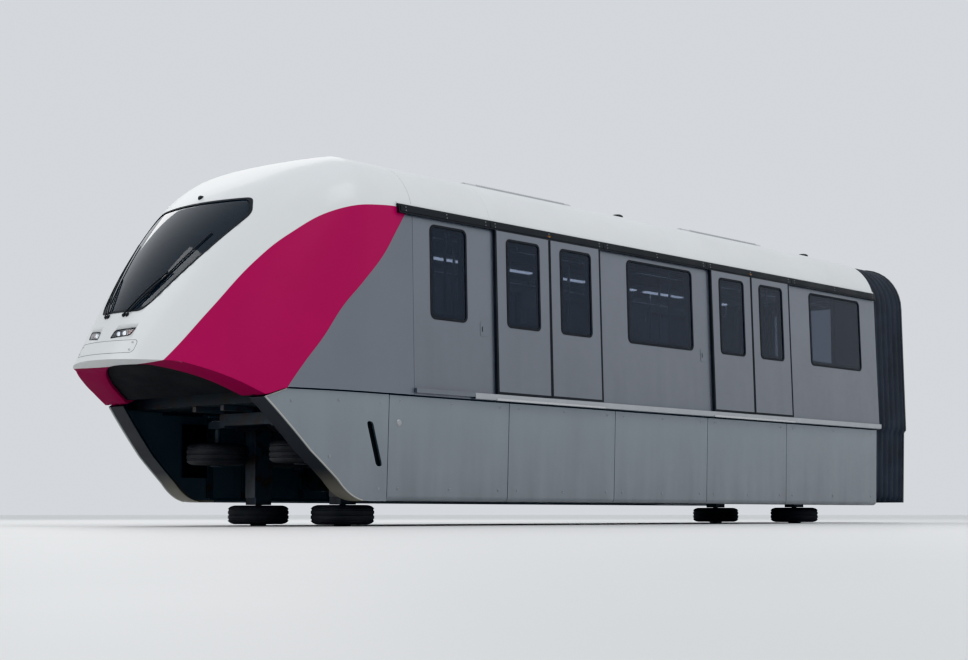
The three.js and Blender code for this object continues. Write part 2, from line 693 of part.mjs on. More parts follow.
for (const [place, turn] of [['rear', 0], ['front', Math.PI]]) {
  const bogie = new THREE.Group();
  bogie.name = `bogie_${place}`;
  bogie.position.set(bogieX[place], 0, 0);
  bogie.rotation.z = turn;
  car.add(bogie);
  add(`bogie_frame_${place}`, frameBody, materials.steel, bogie);
  add(`traction_motor_${place}`, motorBody, materials.steel, bogie);
  const axle = add(`load_wheelset_${place}`, wheelset, materials.tyre, bogie);
  axle.position.set(0, 0, axleHeight);
  for (const { name: side, sign } of sides) {
    const across = turn ? -sign : sign;
    for (const [end, direction] of [['fore', 1], ['aft', -1]]) {
      const along = turn ? -direction : direction;
      const guide = add(`guide_wheel_${place}_${side}_${end}`, sideWheel(guideWidth), materials.tyre, bogie);
      guide.position.set(along * guideSpacing, across * guideY, guideZ);
    }
    const stabiliser = add(`stabiliser_${place}_${side}`, sideWheel(stabiliserWidth), materials.tyre, bogie);
    stabiliser.position.set(0, across * guideY, stabiliserZ);
  }
}

car.updateMatrixWorld(true);
export default car;
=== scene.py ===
import math

import bmesh
import bpy
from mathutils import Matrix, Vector


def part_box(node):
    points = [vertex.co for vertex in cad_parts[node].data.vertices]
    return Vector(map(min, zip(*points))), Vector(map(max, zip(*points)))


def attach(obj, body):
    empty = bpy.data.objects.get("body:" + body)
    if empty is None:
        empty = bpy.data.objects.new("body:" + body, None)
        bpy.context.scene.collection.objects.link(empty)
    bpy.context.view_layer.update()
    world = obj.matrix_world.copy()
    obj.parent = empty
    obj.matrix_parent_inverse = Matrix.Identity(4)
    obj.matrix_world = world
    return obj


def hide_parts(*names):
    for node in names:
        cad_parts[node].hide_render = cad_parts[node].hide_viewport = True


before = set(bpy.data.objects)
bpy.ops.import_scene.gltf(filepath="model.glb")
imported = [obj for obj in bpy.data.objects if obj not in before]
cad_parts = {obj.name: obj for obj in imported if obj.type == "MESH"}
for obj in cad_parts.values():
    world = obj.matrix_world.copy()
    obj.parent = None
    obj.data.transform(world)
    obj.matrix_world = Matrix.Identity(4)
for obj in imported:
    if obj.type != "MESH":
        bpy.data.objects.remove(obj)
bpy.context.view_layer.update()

# Sizes are in metres. X is measured forward from the car's rear face and Z up from the level that
# the load tyres run on; build() shifts every piece from there into the frame.
FLOOR_TOP = 0.45
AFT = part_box("roof")[0].x
TYRE_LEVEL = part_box("saloon_floor")[1].z - FLOOR_TOP

GANGWAY = 0.88
WAIST = 0.37
CANTRAIL = 2.25
ROOF = 2.93
WAIST_HALF = 1.535
CANTRAIL_HALF = 1.49
SHOULDER = ROOF - CANTRAIL
FLAT_HALF = CANTRAIL_HALF - SHOULDER
WALL = 0.08
ROOF_SPLIT = 2.35
CEILING = 2.399
UNDERSIDE = 0.2495

NOSE_JOINT = 9.87
NOSE_START = 10.5
NOSE_TIP = 0.45
NOSE_FALL = 1.9
NOSE_REACH = 12.952 - NOSE_START
MASK_WALL = 0.05
CHIN_WALL = 0.04
CHIN_REAR = 11.56
# Lower edge of the mask from its joint forward: X, Z
MASK_EDGE = [(9.87, 0.372), (11.52, 0.372), (11.74, 0.29), (11.98, 0.41), (12.19, 0.50),
             (12.45, 0.60), (13.1, 0.65)]

WINDOW_BOTTOM = 1.22
WINDOW_TOP = 2.23
# Start and end of each window along X
SIDE_WINDOWS = {"front": (9.03, 9.59), "middle": (4.73, 6.09), "rear": (0.46, 1.84)}
# X of each doorway's middle
DOORWAYS = {"front": 7.622, "rear": 3.38}
LEAF_WIDTH = 0.949
LEAF_MEETING = 0.006
LEAF_INNER = 0.006
LEAF_OUTER = 0.036
LEAF_BOTTOM = 0.4455
LEAF_TOP = 2.2995
TRACK_TOP = 2.40
RAIL_FACE = 0.0385

SKIRT_TOP = 0.36
SKIRT_BOTTOM = -0.75
SKIRT_HALF = 1.5
SKIRT_WALL = 0.026
SKIRT_JOINTS = [0.02, 2.5, 4.4, 6.35, 8.3, 10.204]
SKIRT_BUTTON = (10.05, 0.07)
SKIRT_FRONT = 10.21
# Radius and height of the turned head of a lock
SKIRT_LOCK = [(0.017, 0), (0.017, 0.004), (0.013, 0.0055)]

# X of each bogie's axle, and the way from it to the motor
BOGIES = {"rear": (1.05, 1), "front": (10.1, -1)}
GUIDE_RADIUS = 0.34
GUIDE_Y = 0.69
GUIDE_Z = -0.23
GUIDE_SPACING = 0.6
STABILISER_Z = -0.89
AXLE_Z = 0.5
TYRE_RADIUS = 0.5

SIDES = {"left": 1, "right": -1}
# Which way along X the leaves of a doorway and the guide wheels of a bogie lie
WAYS = {"fore": 1, "aft": -1}

# Keeps two faces from lying in one plane
GAP = 0.0005
# Points closer than this become one
MERGE = 1e-5
# Degrees between two faces from which their edge is rounded
BEVEL_ANGLE = 38


# Mesh helpers: outlines and paths are points, and a part is (points, faces) in car coordinates

def cuboid(x0, x1, y0, y1, z0, z1):
    points = [(x, y, z) for x in (x0, x1) for y in (y0, y1) for z in (z0, z1)]
    faces = [(0, 1, 3, 2), (4, 6, 7, 5), (0, 4, 5, 1), (2, 3, 7, 6), (0, 2, 6, 4), (1, 5, 7, 3)]
    return points, faces


def loops(rings, closed=False, caps=False):
    """Quads between rings of points; closed joins the last ring to the first."""
    count = len(rings[0])
    points = [p for ring in rings for p in ring]
    faces = []
    for r in range(len(rings) if closed else len(rings) - 1):
        low, high = r * count, (r + 1) % len(rings) * count
        faces += [(low + k, low + (k + 1) % count, high + (k + 1) % count, high + k)
                  for k in range(count)]
    if caps:
        faces += [tuple(range(count))[::-1], tuple(range(len(points) - count, len(points)))]
    return points, faces


def place(axis, a, b, depth):
    """A point drawn as (y, z) at a depth along x, as (x, z) along y or as (x, y) along z."""
    return {"x": (depth, a, b), "y": (a, depth, b), "z": (a, b, depth)}[axis]


def drawn(outline, depth, axis="z"):
    return [place(axis, a, b, depth) for a, b in outline]


def prism(outline, axis, start, end):
    return loops([drawn(outline, depth, axis) for depth in (start, end)], caps=True)


def framed(outer, inner, near, out, lay=drawn):
    """A closed frame between two outlines with as many points, laid by lay(outline, depth)."""
    return loops([lay(outer, near), lay(outer, out), lay(inner, out), lay(inner, near)], closed=True)


def panel(outer, inner, holes=()):
    """Closed sheet between two grids of points, open at the cells named in holes."""
    height, width = len(outer), len(outer[0])
    points = [p for rows in (outer, inner) for row in rows for p in row]
    under = height * width
    cells = {(r, k) for r in range(height - 1) for k in range(width - 1)} - set(holes)
    faces = []
    for r, k in sorted(cells):
        a, b = r * width + k, r * width + k + 1
        c, d = b + width, a + width
        faces += [(a, b, c, d), (d + under, c + under, b + under, a + under)]
        for beside, start, end in (
                ((r - 1, k), a, b), ((r, k + 1), b, c), ((r + 1, k), c, d), ((r, k - 1), d, a)):
            if beside not in cells:
                faces.append((end, start, start + under, end + under))
    used = sorted({k for face in faces for k in face})
    place_in = {k: n for n, k in enumerate(used)}
    return [points[k] for k in used], [tuple(place_in[k] for k in face) for face in faces]


def spaced(start, step, count):
    return [start + step * k for k in range(count)]


def between(start, end, steps):
    """Evenly spaced numbers from start to end, both of them included."""
    return [start + (end - start) * k / steps for k in range(steps + 1)]


def circle(radius, count, start=0.0):
    return [(radius * math.cos(turn), radius * math.sin(turn))
            for turn in (2 * math.pi * (k + start) / count for k in range(count))]


def arc(a, b, radius, start, end, steps):
    """Points between two angles in degrees on a circle about (a, b)."""
    turns = map(math.radians, between(start, end, steps))
    return [(a + radius * math.cos(turn), b + radius * math.sin(turn)) for turn in turns]


def rounded(a0, a1, b0, b1, radius, steps=6):
    corners = [(a1 - radius, b0 + radius, -90), (a1 - radius, b1 - radius, 0),
               (a0 + radius, b1 - radius, 90), (a0 + radius, b0 + radius, 180)]
    return [spot for a, b, start in corners for spot in arc(a, b, radius, start, start + 90, steps)]


def symmetric(left):
    """The left half of an outline drawn in (y, z), with its mirror."""
    return left + [(-y, z) for y, z in left[::-1]]


def eased(before, corner, after, radius, steps):
    """A small curve in place of a corner."""
    start = corner + (before - corner).normalized() * radius
    end = corner + (after - corner).normalized() * radius
    return [start * (1 - t) ** 2 + corner * 2 * t * (1 - t) + end * t ** 2
            for t in between(0, 1, steps)]


def bent(points, radius):
    """A path through corner points with each corner rounded."""
    points = [Vector(p) for p in points]
    path = [points[0]]
    for corner in zip(points, points[1:], points[2:]):
        path += eased(*corner, radius, 5)
    return path + [points[-1]]


def softened(corners, radius, steps=4):
    """A closed outline with each corner eased."""
    corners = [Vector(c) for c in corners]
    outline = []
    for before, corner, after in zip(corners[-1:] + corners, corners, corners[1:] + corners[:1]):
        reach = min(radius, (before - corner).length * 0.45, (after - corner).length * 0.45)
        outline += [tuple(p) for p in eased(before, corner, after, reach, steps)]
    return outline


def resampled(outline, count):
    """The same closed outline with evenly spaced points."""
    points = [Vector(p) for p in outline + outline[:1]]
    lengths = [0.0]
    for a, b in zip(points, points[1:]):
        lengths.append(lengths[-1] + (b - a).length)
    even, k = [], 0
    for step in range(count):
        want = lengths[-1] * step / count
        while lengths[k + 1] < want:
            k += 1
        t = (want - lengths[k]) / max(lengths[k + 1] - lengths[k], 1e-9)
        even.append(tuple(points[k].lerp(points[k + 1], t)))
    return even


def lathe(profile, axis, centre, segments=32, ring=False):
    """Turned shape from (radius, height) points about an axis through the centre, solid or a ring."""
    rings = [[tuple(c + d for c, d in zip(centre, spot))
              for spot in drawn(circle(radius, segments), height, axis)] for radius, height in profile]
    return loops(rings, closed=ring, caps=not ring)


def ringed(profile, axis, centre, segments=40):
    return lathe(profile, axis, centre, segments, ring=True)


def torus(centre, radius, thickness, segments, sides):
    return ringed([(radius + a, b) for a, b in circle(thickness, sides)], "z", centre, segments)


def pipe(path, radius, sides=10):
    """Round bar along a path of points."""
    path = [Vector(p) for p in path]
    rings, side = [], None
    for k, point in enumerate(path):
        ahead = (path[min(k + 1, len(path) - 1)] - path[max(k - 1, 0)]).normalized()
        if side is None:
            side = ahead.cross(Vector((0, 0, 1)) if abs(ahead.z) < 0.9 else Vector((1, 0, 0)))
        side = (side - ahead * side.dot(ahead)).normalized()
        up = ahead.cross(side)
        rings.append([tuple(point + side * a + up * b) for a, b in circle(radius, sides)])
    return loops(rings, caps=True)


def bolt(axis, centre, radius, way=1, height=None):
    """A hexagon head on its washer, standing out along an axis."""
    tall = way * (height or radius * 0.7)
    base = lathe([(radius * 1.35, 0), (radius * 1.35, tall * 0.25)], axis, centre, 14)
    head = lathe([(radius, tall * 0.25), (radius, tall * 0.9), (radius * 0.82, tall)], axis, centre, 6)
    return base[0] + head[0], base[1] + [tuple(k + len(base[0]) for k in face) for face in head[1]]


def mirrored(part):
    points, faces, *number = part
    return [(x, -y, z) for x, y, z in points], [face[::-1] for face in faces], *number


def both(*parts):
    return [*parts, *map(mirrored, parts)]


def build(name, parts, finish, body="carbody", slot=None, replaces=None, bevel=0.0, smooth=35,
          segments=2, sign=1):
    """One piece from parts in car coordinates, mirrored where the sign is -1.

    Finish names its looks, and a part may carry the number of its own.
    """
    points, faces, slots = [], [], []
    for part in parts if sign > 0 else map(mirrored, parts):
        first = len(points)
        points += [(x + AFT, y, z + TYRE_LEVEL) for x, y, z in part[0]]
        faces += [tuple(k + first for k in face) for face in part[1]]
        slots += [part[2] if len(part) > 2 else 0] * len(part[1])
    mesh = bpy.data.meshes.new(name)
    mesh.from_pydata(points, [], faces)
    for key in finish.split():
        mesh.materials.append(look[key])
    mesh.polygons.foreach_set("material_index", slots)
    shape = bmesh.new()
    shape.from_mesh(mesh)
    bmesh.ops.remove_doubles(shape, verts=shape.verts, dist=MERGE)
    bmesh.ops.recalc_face_normals(shape, faces=shape.faces)
    shape.to_mesh(mesh)
    shape.free()
    mesh.shade_smooth()
    mesh.set_sharp_from_angle(angle=math.radians(smooth))
    piece = bpy.data.objects.new(name, mesh)
    bpy.context.scene.collection.objects.link(piece)
    if bevel:
        round_edges(piece, bevel, segments)
    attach(piece, body)
    if replaces:
        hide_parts(replaces)
    return piece


def pair(name, parts, finish, **how):
    """The same piece on both sides; {} in its name, body or replaced node stands for the side."""
    for side, sign in SIDES.items():
        named = {key: value.format(side) if isinstance(value, str) else value
                 for key, value in how.items()}
        build(name.format(side), parts, finish, sign=sign, **named)


def round_edges(piece, width, segments=2):
    edge = piece.modifiers.new("edge", "BEVEL")
    edge.width = width
    edge.segments = segments
    edge.limit_method = "ANGLE"
    edge.angle_limit = math.radians(BEVEL_ANGLE)


def carve(piece, parts, sign=1):
    """Cuts closed parts out of a piece and applies the result."""
    tool = build("tool", parts, "", sign=sign)
    cutter = piece.modifiers.new("cut", "BOOLEAN")
    cutter.operation = "DIFFERENCE"
    cutter.solver = "EXACT"
    cutter.object = tool
    bpy.context.view_layer.update()
    evaluated = piece.evaluated_get(bpy.context.evaluated_depsgraph_get())
    mesh = bpy.data.meshes.new_from_object(evaluated)
    old = piece.data
    piece.modifiers.clear()
    piece.data = mesh
    bpy.data.meshes.remove(old)
    bpy.data.objects.remove(tool)
    mesh.name = piece.name


# Materials

SILVER = (0.205, 0.222, 0.252)
SKIRT = (0.265, 0.295, 0.325)
WHITE = (0.74, 0.76, 0.76)
MAGENTA = (0.42, 0.003, 0.085)
GRIME = (0.085, 0.085, 0.09)


def shader_of(made):
    return made.node_tree.nodes["Principled BSDF"]


def material(name, color, roughness, metallic=0.0, **sockets):
    made = bpy.data.materials.new(name)
    made.use_nodes = True
    values = {"Base Color": (*color, 1), "Roughness": roughness, "Metallic": metallic, **sockets}
    for key, value in values.items():
        shader_of(made).inputs[key.replace("_", " ")].default_value = value
    return made


def node(made, kind, **values):
    new = made.node_tree.nodes.new(kind)
    for key, value in values.items():
        if hasattr(new, key):
            setattr(new, key, value)
        else:
            new.inputs[key].default_value = value
    return new


def join(made, value, socket):
    """Links a socket, or sets a plain number or colour."""
    if isinstance(value, bpy.types.NodeSocket):
        made.node_tree.links.new(value, socket)
    else:
        socket.default_value = (*value, 1) if isinstance(value, tuple) else value


def feed(made, key, source):
    join(made, source, shader_of(made).inputs[key])


def place_of(made, scale=(1, 1, 1)):
    where = node(made, "ShaderNodeTexCoord")
    stretch = node(made, "ShaderNodeMapping", Scale=scale)
    join(made, where.outputs["Object"], stretch.inputs["Vector"])
    return stretch.outputs["Vector"]


def axes_of(made):
    where = node(made, "ShaderNodeSeparateXYZ")
    join(made, place_of(made), where.inputs[0])
    return where.outputs


def textured(made, kind, output, scale=(1, 1, 1), **values):
    texture = node(made, kind, **values)
    join(made, place_of(made, scale), texture.inputs["Vector"])
    return texture.outputs[output]


def noise(made, scale, detail=3.0, stretch=(1, 1, 1)):
    return textured(made, "ShaderNodeTexNoise", "Fac", stretch, Scale=scale, Detail=detail)


def ranged(made, source, low, high, start=0.3, end=0.7):
    spread = node(made, "ShaderNodeMapRange")
    for key, value in (("From Min", start), ("From Max", end), ("To Min", low), ("To Max", high),
                       ("Value", source)):
        join(made, value, spread.inputs[key])
    return spread.outputs["Result"]


def computed(made, operation, *terms):
    result = node(made, "ShaderNodeMath", operation=operation)
    for term, socket in zip(terms, result.inputs):
        join(made, term, socket)
    return result.outputs[0]


def mixed(made, share, first, second):
    """Colour mix; first and second are colours or sockets."""
    mix = node(made, "ShaderNodeMix", data_type="RGBA")
    for value, number in ((share, 0), (first, 6), (second, 7)):
        join(made, value, mix.inputs[number])
    return mix.outputs[2]


def coloured(made, share, first, second):
    feed(made, "Base Color", mixed(made, share, first, second))


def glossed(made, source, low, high):
    feed(made, "Roughness", ranged(made, source, low, high))


def bumped(made, height, distance, strength):
    bump = node(made, "ShaderNodeBump", Strength=strength, Distance=distance)
    join(made, height, bump.inputs["Height"])
    feed(made, "Normal", bump.outputs["Normal"])


def shades(color, *factors):
    return [tuple(c * factor for c in color) for factor in factors]


def paint(name, color, metallic, dirt=0.35, low=0.0, high=1.6, roughness=(0.28, 0.4), coat=0.5):
    """Soft colour variation, streaked dust that thickens towards the bottom, and uneven gloss."""
    made = material(name, color, 0.35, metallic, Coat_Weight=coat, Coat_Roughness=0.14)
    tone = mixed(made, noise(made, 1.3, 4.0), *shades(color, 0.93, 1.06))
    height = ranged(made, axes_of(made)["Z"], dirt, 0.03, TYRE_LEVEL + low, TYRE_LEVEL + high)
    coloured(made, computed(made, "MULTIPLY", height, noise(made, 5.0, 5.0, (1, 1, 0.12))), tone, GRIME)
    glossed(made, noise(made, 9.0, 4.0), *roughness)
    bumped(made, noise(made, 2.6, 2.0), 0.0015, 0.07)
    return made


# Paint borders on the nose, as (X, Z) seen from the side: white above, magenta between, silver below
WHITE_BORDER = [(9.9, 2.36), (10.28, 2.36), (10.92, 2.23), (11.37, 1.95), (11.69, 1.66), (12.13, 1.14),
                (12.51, 0.67), (12.74, 0.41), (13.0, 0.1)]
SILVER_BORDER = [(9.9, 2.42), (10.12, 2.09), (10.3, 1.83), (10.6, 1.51), (10.87, 1.23), (11.11, 0.9),
                 (11.34, 0.62), (11.51, 0.39), (11.66, 0.15), (13.0, 0.12)]
BORDER_X = (9.9, 13.0)
BORDER_Z = (0.0, 3.0)
CHIN_BORDER = 12.487
BLUR = 0.002


def above(made, where, points):
    """1 above a border drawn as height over length, and 0 below it."""
    spot = computed(made, "SUBTRACT", where["X"], AFT)
    curve = node(made, "ShaderNodeFloatCurve")
    line = curve.mapping.curves[0]
    spots = [tuple((v - low) / (high - low) for v, (low, high) in zip(point, (BORDER_X, BORDER_Z)))
             for point in points]
    line.points[0].location = spots[0]
    line.points[1].location = spots[-1]
    for spot_between in spots[1:-1]:
        line.points.new(*spot_between)
    curve.mapping.update()
    join(made, ranged(made, spot, 0, 1, *BORDER_X), curve.inputs["Value"])
    border = ranged(made, curve.outputs[0], *(z + TYRE_LEVEL for z in BORDER_Z), 0, 1)
    return ranged(made, computed(made, "SUBTRACT", where["Z"], border), 0, 1, -BLUR, BLUR)


def livery():
    made = paint("livery", WHITE, 0.0, dirt=0.2, coat=0.25, roughness=(0.34, 0.42))
    feed(made, "Specular IOR Level", 0.35)
    where, patches = axes_of(made), noise(made, 1.3, 4.0)
    grey, pink, white = (mixed(made, patches, *shades(color, low, high)) for color, low, high in (
        (SILVER, 0.94, 1.06), (MAGENTA, 0.92, 1.05), (WHITE, 0.96, 1.03)))
    over_silver = above(made, where, SILVER_BORDER)
    lower = mixed(made, over_silver, grey, pink)
    coloured(made, above(made, where, WHITE_BORDER), lower, white)
    feed(made, "Metallic", ranged(made, over_silver, 0.45, 0.0, 0, 1))
    return made


def crimson():
    """The chin: magenta under the band at the sides and white under the front, both darkened as painted
    shade where the chin faces down.
    """
    made = material("chin_painted_shade", MAGENTA, 0.5)
    feed(made, "Specular IOR Level", 0.12)
    where, patches = axes_of(made), noise(made, 1.3, 4.0)
    bend = computed(made, "MULTIPLY", where["Y"], where["Y"])
    spot = computed(made, "MULTIPLY_ADD", bend, -0.14, where["X"])
    border = AFT + CHIN_BORDER
    coloured(made, ranged(made, spot, 0, 1, border - BLUR, border + BLUR),
             mixed(made, patches, *shades(MAGENTA, 0.42, 0.62)),
             mixed(made, patches, *shades(WHITE, 0.84, 0.92)))
    glossed(made, patches, 0.5, 0.62)
    return made


def shaded_return():
    """Inner face of the front skirts: painted shade above, and a light tan painted reflection of the lit
    beam towards the lower corner.
    """
    made = material("skirt_return", (0.10, 0.11, 0.12), 0.6)
    patches = noise(made, 2.0, 5.0)
    coloured(made, ranged(made, axes_of(made)["Z"], 1, 0, TYRE_LEVEL - 0.76, TYRE_LEVEL - 0.42),
             mixed(made, patches, (0.030, 0.032, 0.036), (0.048, 0.050, 0.055)),
             mixed(made, patches, (0.24, 0.225, 0.19), (0.31, 0.295, 0.255)))
    glossed(made, patches, 0.5, 0.65)
    bumped(made, noise(made, 180.0, 2.0), 0.0005, 0.1)
    return made


def surface(name, colors, roughness, pattern, grain=None, spread=(0, 1, 0, 1), metallic=0.0, **sockets):
    """Gloss and up to two colours that vary over a soft pattern, and a fine grain.

    The pattern is (scale, detail) and the grain (scale, detail, distance, strength).
    """
    made = material(name, colors[0], roughness[0], metallic, **sockets)
    patches = noise(made, *pattern)
    if len(colors) > 1:
        coloured(made, ranged(made, patches, *spread), *colors)
    glossed(made, patches, *roughness)
    if grain:
        bumped(made, noise(made, *grain[:2]), *grain[2:])
    return made


def tinted(name, color, transmission, roughness=0.01):
    return surface(name, [color], (roughness, roughness + 0.02), (3.0, 5.0),
                   Transmission_Weight=transmission, IOR=1.45)


def rubber(name, color=(0.018, 0.019, 0.021), grain=380.0):
    return surface(name, shades(color, 1, 2.2), (0.6, 0.8), (4.0, 5.0), (grain, 2.0, 0.0008, 0.35),
                   (0, 1, 0.3, 0.7))


def steel(name, color, metallic, roughness=(0.35, 0.6), grain=60.0, wear=(0.16, 0.12, 0.09),
          depth=0.002):
    return surface(name, [color, wear], roughness, (7.0, 6.0), (grain, 4.0, depth, 0.3),
                   (0, 0.55, 0.45, 0.75), metallic)


def moulded(name, color, roughness=(0.45, 0.6), grain=500.0):
    return surface(name, shades(color, 0.9, 1.07), roughness, (2.5, 4.0), (grain, 2.0, 0.0005, 0.25))


def glowing(name, color, strength):
    return surface(name, [color], (0.3, 0.45), (40.0, 3.0), Emission_Strength=strength,
                   Emission_Color=(*color, 1))


def speckled(name, color, fleck):
    made = material(name, color, 0.55)
    cells = textured(made, "ShaderNodeTexVoronoi", "Distance", Scale=160.0)
    coloured(made, ranged(made, cells, 1, 0, 0.12, 0.2), color, fleck)
    glossed(made, noise(made, 3.0), 0.45, 0.65)
    bumped(made, noise(made, 300.0, 2.0), 0.0005, 0.2)
    return made


def woven(name, color):
    """Coated cloth of the gangway: a fine cross weave under a dull skin."""
    made = surface(name, shades(color, 1, 2), (0.62, 0.85), (2.2, 5.0), None, (0, 1, 0.3, 0.7),
                   Sheen_Weight=0.15)
    threads = [textured(made, "ShaderNodeTexWave", "Fac", wave_type="BANDS", bands_direction=axis,
                        Scale=240.0) for axis in "XZ"]
    bumped(made, computed(made, "MAXIMUM", *threads), 0.0006, 0.3)
    return made


look = {
    "white": paint("white_paint", WHITE, 0.0, dirt=0.15, coat=0.25, roughness=(0.34, 0.42)),
    "silver": paint("silver_paint", SILVER, 0.45, dirt=0.3, low=0.2, high=1.8),
    "skirt": paint("skirt_paint", SKIRT, 0.4, dirt=0.55, low=-0.9, high=0.5),
    "livery": livery(),
    "black": moulded("black_trim", (0.016, 0.017, 0.019), (0.32, 0.5)),
    "frit": moulded("black_frit", (0.006, 0.006, 0.007), (0.08, 0.14)),
    "glass": tinted("tinted_glass", (0.10, 0.12, 0.16), 0.82),
    "screen": tinted("windscreen_tint", (0.075, 0.09, 0.11), 0.65),
    "lens": tinted("clear_lens", (0.9, 0.92, 0.95), 0.95),
    "seal": rubber("seal_rubber"),
    "tyre": rubber("tyre_rubber", (0.045, 0.045, 0.046), 240.0),
    "bellows": woven("bellows_cloth", (0.030, 0.034, 0.042)),
    "frame": steel("frame_steel", (0.10, 0.11, 0.12), 0.2),
    "under": steel("underfloor_paint", (0.055, 0.06, 0.065), 0.1, (0.5, 0.7), 40.0, (0.10, 0.085, 0.07),
                   0.0015),
    "housing": moulded("housing_grey", (0.26, 0.27, 0.28)),
    "cast": steel("cast_grey", (0.20, 0.21, 0.22), 0.5),
    "endframe": moulded("end_frame_grey", (0.085, 0.090, 0.098), (0.5, 0.65), 90.0),
    "rim": steel("rim_grey", (0.46, 0.47, 0.48), 0.55, (0.3, 0.5)),
    "bright": surface("bright_steel", shades((0.62, 0.63, 0.64), 0.9, 1.05), (0.22, 0.34),
                      (40.0, 4.0, (1, 1, 30)), metallic=1.0),
    "lining": moulded("interior_panel", (0.56, 0.58, 0.59)),
    "carpet": speckled("floor_covering", (0.14, 0.15, 0.16), (0.38, 0.39, 0.40)),
    "seat": moulded("seat_shell", (0.30, 0.03, 0.12), (0.38, 0.5)),
    "unit": paint("unit_paint", (0.50, 0.52, 0.53), 0.1, dirt=0.4, low=2.7, high=3.1, coat=0.2),
    "return": shaded_return(),
    "chin": crimson(),
    "rail": paint("rail_silver", (0.46, 0.48, 0.50), 0.6, low=0.2, high=0.6, coat=0.2),
    # Light tan with dust towards the bottom: a painted highlight on the skirts' lower front corners,
    # which reflect the lit beam, and on their leading edges, which catch the sky.
    "lip": paint("skirt_lip", (0.52, 0.51, 0.47), 0.3, dirt=0.3, low=-0.9, high=0.4, coat=0.4),
    "amber": tinted("amber_lens", (0.30, 0.12, 0.015), 0.3, 0.1),
    # Near black and matte, for the underpan under the nose.
    "underpan_dark": moulded("near_black_matte", (0.012, 0.012, 0.013), (0.75, 0.9), 60.0),
    "lock": steel("lock_grey", (0.30, 0.32, 0.34), 0.6, (0.3, 0.5), 200.0, (0.22, 0.21, 0.20), 0.0003),
    # Near black for the fan wheels, and painted shade in the lock slots, the air slots and behind the
    # skirt slots.
    "hollow": moulded("dark_inside", (0.008, 0.008, 0.009), (0.7, 0.9)),
    "light": glowing("ceiling_light", (0.95, 0.97, 1.0), 3.0),
    "head": glowing("head_led", (0.9, 0.95, 1.0), 1.2),
    "tail": glowing("tail_led", (0.5, 0.01, 0.01), 0.15),
    "display": glowing("desk_display", (0.02, 0.06, 0.09), 0.4),
}


# Body surfaces: the wall line with its shoulder arc, and the nose that follows it

def side_y(z, inset=0.0):
    if z <= CANTRAIL:
        return WAIST_HALF + (CANTRAIL_HALF - WAIST_HALF) * (z - WAIST) / (CANTRAIL - WAIST) - inset
    reach = SHOULDER - inset
    return FLAT_HALF + math.sqrt(max(reach * reach - (z - CANTRAIL) ** 2, 0.0))


def skirt_y(z, inset=0.0):
    return SKIRT_HALF - (SKIRT_TOP - z) * 0.03 - inset


def nose_fall(z, inset=0.0):
    """Share of the nose's reach at a height: 0 at the roof, 1 at the tip and more below it."""
    return max((ROOF - inset - z) / (ROOF - NOSE_TIP - inset), 0.0) ** (1 / NOSE_FALL)


def nose_front(z, inset=0.0):
    return (NOSE_REACH - inset) * min(nose_fall(z, inset), 1.0)


def nose_point(z, turn, inset=0.0):
    """Point of the nose at a height, turned from the side (0) to the middle of the front (pi / 2)."""
    return NOSE_START + nose_front(z, inset) * math.sin(turn), side_y(z, inset) * math.cos(turn), z


def nose_x(y, z, inset=0.0):
    across = min(abs(y) / side_y(z, inset), 1.0)
    return NOSE_START + nose_front(z, inset) * math.sqrt(1 - across * across)


def edge_height(x):
    """Height of the mask's lower edge."""
    for (x0, z0), (x1, z1) in zip(MASK_EDGE, MASK_EDGE[1:]):
        if x <= x1:
            return z0 + (z1 - z0) * (x - x0) / (x1 - x0)
    return MASK_EDGE[-1][1]


def edge_point(turn, inset=0.0, lift=0.0):
    """Point of the nose at a turn where it meets the mask's lower edge."""
    low, high = 0.0, ROOF
    for _ in range(30):
        z = (low + high) / 2
        if z > edge_height(nose_point(z, turn, inset)[0]) + lift:
            high = z
        else:
            low = z
    return nose_point((low + high) / 2, turn, inset)


def level_height(foot, share, inset):
    """Height at a share of the nose's fall from the roof down to the mask's foot."""
    return ROOF - inset - (ROOF - NOSE_TIP - inset) * (nose_fall(foot, inset) * share) ** NOSE_FALL


def mask_rows(inset=0.0):
    """Rows from the lower edge to the roof, each across the nose from joint to joint."""
    feet = [(turn, edge_point(turn, inset)[2]) for turn in between(0, math.pi / 2, TURNS)]
    rows = []
    for share in between(1, 0, LEVELS):
        z = level_height(MASK_EDGE[0][1], share, inset)
        rows.append([(x, side_y(z, inset), z) for x in between(NOSE_JOINT, NOSE_START, 6)[:-1]]
                    + [nose_point(level_height(foot, share, inset), turn, inset) for turn, foot in feet])
    return whole_width(rows)


def whole_width(rows):
    """Adds the right side to rows drawn on the left."""
    return [row + [(x, -y, z) for x, y, z in row[-2::-1]] for row in rows]


TURNS = 56
LEVELS = 44
# Rows of the chin from its front lip to its rear: depth in from the nose, rise over the mask's edge
CHIN_ROWS = [(0.004, 0.006), (0.006, -0.001), (0.03, -0.0012), (0.12, -0.001), (0.24, -0.001),
             (0.34, -0.001), (0.36, 0.006)]


